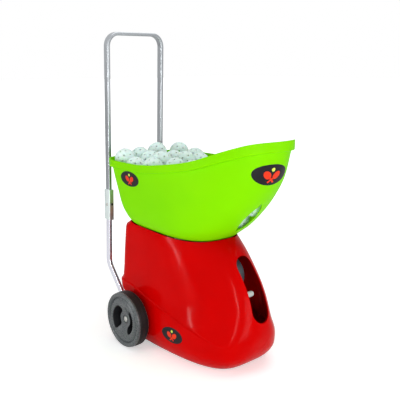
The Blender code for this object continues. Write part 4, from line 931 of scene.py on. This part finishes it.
def lower_tubes():
    lean = Vector((sin(LEAN), 0, cos(LEAN)))
    narrow = Vector((0, 1, 0))
    for side, sign in SIDES:
        top = Vector((PIN_X, sign * POST_Y, PIN_Z)) - lean * (PIN_Z - LOWER_TUBE_TOP)
        corners = [top] + [Vector((p.x, sign * POST_Y, p.z)) for p in (LOWER_BEND, LOWER_KNEE, LOWER_END)]
        path = [(top, (corners[1] - top).normalized())]
        for k, radius in ((1, 0.050), (2, 0.034)):
            corner = corners[k]
            before = (corner - corners[k - 1]).normalized()
            after = (corners[k + 1] - corner).normalized()
            trim = radius * tan(before.angle(after) / 2)
            start, end = corner - before * trim, corner + after * trim
            for i in range(13):
                t = i / 12
                path.append((start * (1 - t)**2 + corner * 2 * t * (1 - t) + end * t**2,
                             (before * (1 - t) + after * t).normalized()))
        path.append((corners[3], (corners[3] - corners[2]).normalized()))
        tube = flat_tube(f"bent_tube_{side}", [(p, narrow, -narrow.cross(d), 1.0) for p, d in path])
        # The lower tubes take the lighter copy of the aluminium: painted light
        dress(tube, f"lower_tube_{side}", looks["lower_tube"], angle=30)


# Throwing wheels, seen through the slot

NIP_PIVOT = Vector((0.225, 0.0, 0.215))
HEAD_REACH = 0.080
THROW_R = 0.060
THROW_HALF_GAP = 0.031
TREAD = both_sides(mm((52, -20), (57.5, -20), (59, -19.4), (60, -17.8), (60, -6), (59.2, -5.2), (59.2, -4),
                      (60, -3.2)))
THROW_HUB = mm((0, -37.5), (5, -37.5), (5.5, -37), (5.5, -22), (13.4, -22), (14, -21.4), (14, -6), (44, -6),
               (44, -18.2), (44.8, -19), (51.4, -19), (51.4, 19), (46.6, 19), (45.8, 18.4), (44, 2), (12, 2),
               (12, 13.4), (11.4, 14), (0, 14))
HUB_HOLES = 6
HUB_HOLE_R = 0.0072
HUB_HOLE_RING = 0.028


def throwing_wheels():
    for name, sign in (("upper", 1), ("lower", -1)):
        at = NIP_PIVOT + Vector((HEAD_REACH, 0.0, sign * (THROW_R + THROW_HALF_GAP)))
        dress(spun(f"throwing_tread_{name}", TREAD, 96, 'Y', at), f"throw_tyre_{name}", angle=30)
        wheel = spun(f"throwing_hub_{name}", THROW_HUB, 96, 'Y', at)
        for k in range(HUB_HOLES):
            a = radians(30 + 360 / HUB_HOLES * k)
            spot = (at.x + HUB_HOLE_RING * cos(a), 0, at.z + HUB_HOLE_RING * sin(a))
            carve(wheel, rod(HUB_HOLE_R, -0.03, 0.03, 24, 'Y', spot))
        bevel(wheel, 0.0005, 2, 50)
        dress(wheel, f"throw_hub_{name}", angle=32)


# Rear panel

def panel_plate():
    sheet = plate("panel_plate", rounded(*PANEL_HALF, 0.006, 6), PANEL_FACE - 0.004, PANEL_FACE)
    a, b = ROCKER_WINDOW
    for name, (u, v) in CONTROLS.items():
        if name.endswith("switch"):
            cutter = block("switch_cutter", (u - a, v - b, -0.02), (u + a, v + b, 0.02))
        else:
            cutter = rod(HOLE_RADII[name], -0.02, 0.02, 40, 'Z', (u, v, 0))
        carve(sheet, cutter)
    bevel(sheet, 0.0007, 2, 50)
    dress(move(sheet, PANEL), "control_panel")


def place_of(name, w=0.0):
    return Matrix.Translation((*CONTROLS[name], w))


def panel_trim():
    """Bezels round the rockers, four corner screws, and the screen-printed marks of the dials and rockers."""
    prints = []
    for name in ("power_switch", "tilt_switch"):
        bezel = plate(f"{name}_bezel", rounded(0.0135, 0.0180, 0.0022, 4), PANEL_FACE + 0.0002,
                      PANEL_FACE + 0.0018)
        a, b = ROCKER_WINDOW
        carve(bezel, block("bezel_cutter", (-a, -b, 0.0), (a, b, 0.02)))
        bevel(bezel, 0.0005, 2, 50)
        dress(move(bezel, PANEL @ place_of(name)), body="chassis", slot="black_abs")
    for number, (u, v) in enumerate(PANEL_SCREWS):
        screw = spun(f"panel_screw_{number}", SCREW_HEAD, 32, 'Z')
        for turn in (0, pi / 2):
            slot = block("recess", (-0.0017, -0.0004, 0.0010), (0.0017, 0.0004, 0.003))
            carve(screw, move(slot, Matrix.Rotation(turn, 4, 'Z')))
        dress(move(screw, PANEL @ Matrix.Translation((u, v, PANEL_FACE + 0.0001))), body="chassis",
              slot="zinc_plated_steel")
    face = PANEL_FACE + 0.0001
    for name in ("speed_knob", "feed_knob"):
        u, v = CONTROLS[name]
        for k in range(11):
            a = radians(225 - 27 * k)
            mark = block("tick", (0.0195, -0.0003, 0), (0.0222 if k % 5 else 0.0236, 0.0003, PRINT))
            prints.append(move(mark, place_of(name, face) @ Matrix.Rotation(a, 4, 'Z')))
            if k % 5 == 0:
                bpy.ops.object.text_add()
                text = named("numeral")
                text.data.body, text.data.size, text.data.extrude = str(k), 0.0062, 0.0001
                text.data.align_x, text.data.align_y = 'CENTER', 'CENTER'
                text.data.resolution_u = 4
                bpy.ops.object.convert(target='MESH')
                text = named("numeral")
                place = (u + 0.0275 * cos(a), v + 0.0275 * sin(a), face + 0.0001)
                prints.append(move(text, Matrix.Translation(place)))
    for up in (1, -1):
        arrow = plate("arrow", [(-0.003, up * 0.0215), (0.003, up * 0.0215), (0, up * 0.0255)], 0, PRINT)
        prints.append(move(arrow, place_of("tilt_switch", face)))
    bar_mark = block("on_mark", (-0.0004, 0.0210, 0), (0.0004, 0.0262, PRINT))
    prints.append(move(bar_mark, place_of("power_switch", face)))
    ring = ((0.0020, 0), (0.0028, 0), (0.0028, PRINT), (0.0020, PRINT))
    ring = spun("off_mark", ring, 32, 'Z', (0, -0.0238, 0))
    prints.append(move(ring, place_of("power_switch", face)))
    dress(move(join("panel_marks", prints), PANEL), look=white_print, body="chassis", slot="white_acetal",
          angle=30)


DIAL_HEAD = mm((3.1, 0), (17.2, 0), (17.9, 0.6), (18, 2.6), (17.4, 3.4), (15.6, 4.2), (15, 6), (14, 15),
               (13.4, 16.1), (12.2, 16.6), (11, 16.3), (0, 16))
GRIP_GROOVES = 18
GRIP_R = 0.0013
GRIP_RING = 0.0156


def dials():
    for name in ("speed_knob", "feed_knob"):
        face = PANEL_FACE + 0.0006
        head = [(r, face + h) for r, h in DIAL_HEAD]
        dial = spun(f"turned_{name}", mm((0, -12), (3.1, -12)) + head, 72, 'Z')
        for k in range(GRIP_GROOVES):
            a = 2 * pi * k / GRIP_GROOVES
            at = (GRIP_RING * cos(a), GRIP_RING * sin(a), 0)
            carve(dial, rod(GRIP_R, face + 0.0052, face + 0.02, 12, 'Z', at))
        dress(move(dial, PANEL @ place_of(name)), name, angle=30)
        line = block(f"{name}_pointer", (-0.0006, 0.0060, face + 0.0162), (0.0006, 0.0128, face + 0.0169))
        dress(move(line, PANEL @ place_of(name)), look=white_print, body=body_of[name], slot="white_acetal")


# Floor, light and camera

FLOOR_GLOW = 0.45
MIRRORED_GLOW = 0.25
WORLD_LEVEL = 0.30
AIM = Vector((0.15 + SHIFT, 0.0, 0.35))
# Name, place, width, height and watts
LAMPS = (("key_softbox", (-0.6, -2.6, 2.2), 1.6, 1.6, 10),
         ("side_strip_rear", (-0.9, -2.4, 0.45), 0.07, 1.3, 15),
         ("side_strip_front", (1.6, -2.6, 0.9), 0.07, 1.5, 15),
         ("front_softbox", (2.2, -1.2, 0.5), 1.0, 1.0, 20),
         ("nose_softbox", (2.2, 0.7, 0.6), 0.8, 0.8, 10),
         ("top_softbox", (0.2, 0.6, 3.0), 2.4, 2.4, 37))


def paper_sweep():
    """Pale floor: white to the camera, a little light in reflections, and the object's shadow kept."""
    floor = finish("pale_paper_sweep", "#F4F4F4", 0.9, specular_ior_level=0.1)
    shader = floor.node_tree.nodes["Principled BSDF"]
    shader.inputs["Emission Color"].default_value = (1, 1, 1, 1)
    away = add(floor, "ShaderNodeVectorMath", {0: where(floor)}, operation='LENGTH')
    fade = add(floor, "ShaderNodeMapRange", {"Value": (away, "Value"), "From Min": 0.6, "From Max": 3.0,
                                             "To Min": FLOOR_GLOW, "To Max": 1.0})
    seen = add(floor, "ShaderNodeLightPath", {})
    mirrored = combine(floor, 'MAXIMUM', (seen, "Is Glossy Ray"), (seen, "Is Transmission Ray"))
    mirrored = combine(floor, 'MULTIPLY', mirrored, MIRRORED_GLOW)
    lift = combine(floor, 'MULTIPLY_ADD', (seen, "Is Camera Ray"), (fade, "Result"), mirrored)
    drive(floor, "Emission Strength", lift)
    bpy.ops.mesh.primitive_plane_add(size=60)
    ground = named("floor")
    ground.data.materials.append(floor)


def white_room():
    """A world that is white to the camera, in reflections and through glass, and dimmer as light."""
    world = bpy.data.worlds.new("studio")
    bpy.context.scene.world = world
    world.use_nodes = True
    background = world.node_tree.nodes["Background"]
    background.inputs["Color"].default_value = (1, 1, 1, 1)
    path = add(world, "ShaderNodeLightPath", {})
    shown = combine(world, 'MAXIMUM', (path, "Is Camera Ray"), (path, "Is Glossy Ray"))
    shown = combine(world, 'MAXIMUM', shown, (path, "Is Transmission Ray"))
    level = add(world, "ShaderNodeMapRange", {"Value": shown, "To Min": WORLD_LEVEL})
    world.node_tree.links.new(level.outputs["Result"], background.inputs["Strength"])


def lamps_and_camera():
    for name, place, wide, high, power in LAMPS:
        bpy.ops.object.light_add(type='AREA', location=place)
        lamp = named(name)
        lamp.data.shape = 'RECTANGLE'
        lamp.data.size, lamp.data.size_y = wide, high
        lamp.data.energy = power
        lamp.rotation_euler = (AIM - Vector(place)).to_track_quat('-Z', 'Y').to_euler()
    bpy.ops.object.camera_add(location=CAMERA_AT, rotation=(pi / 2 - CAMERA_DOWN, 0, CAMERA_TURN))
    camera = named("photo_camera")
    camera.data.lens = LENS
    camera.data.sensor_width = 36
    bpy.context.scene.camera = camera
    bpy.context.scene.view_settings.view_transform = 'Standard'


paper_sweep()
white_room()
lamps_and_camera()
body_piece = body_moulding()
bowl_piece = hopper_moulding()
ball_heap(bowl_piece)
carrying_wheels()
handle()
hinges()
lower_tubes()
throwing_wheels()
panel_plate()
panel_trim()
dials()
badge("front_badge", (0.5075, -0.020, 0.678), (0.9, -0.1, -0.26), (0.26, 0.0, 0.9), 0.064, 0.036,
      bowl_piece, "hopper")
badge("side_badge", (-0.0144, -0.1756, 0.610), (0.0, -0.994, -0.11), (0.0, -0.11, 0.994), 0.053, 0.0275,
      bowl_piece, "hopper")
badge("skirt_badge", (0.2072, -0.169, 0.0951), (0.09, -0.98, 0.1), (0.0, 0.1, 0.98), 0.050, 0.027,
      body_piece, "body_shell")
bpy.ops.object.select_all(action='DESELECT')
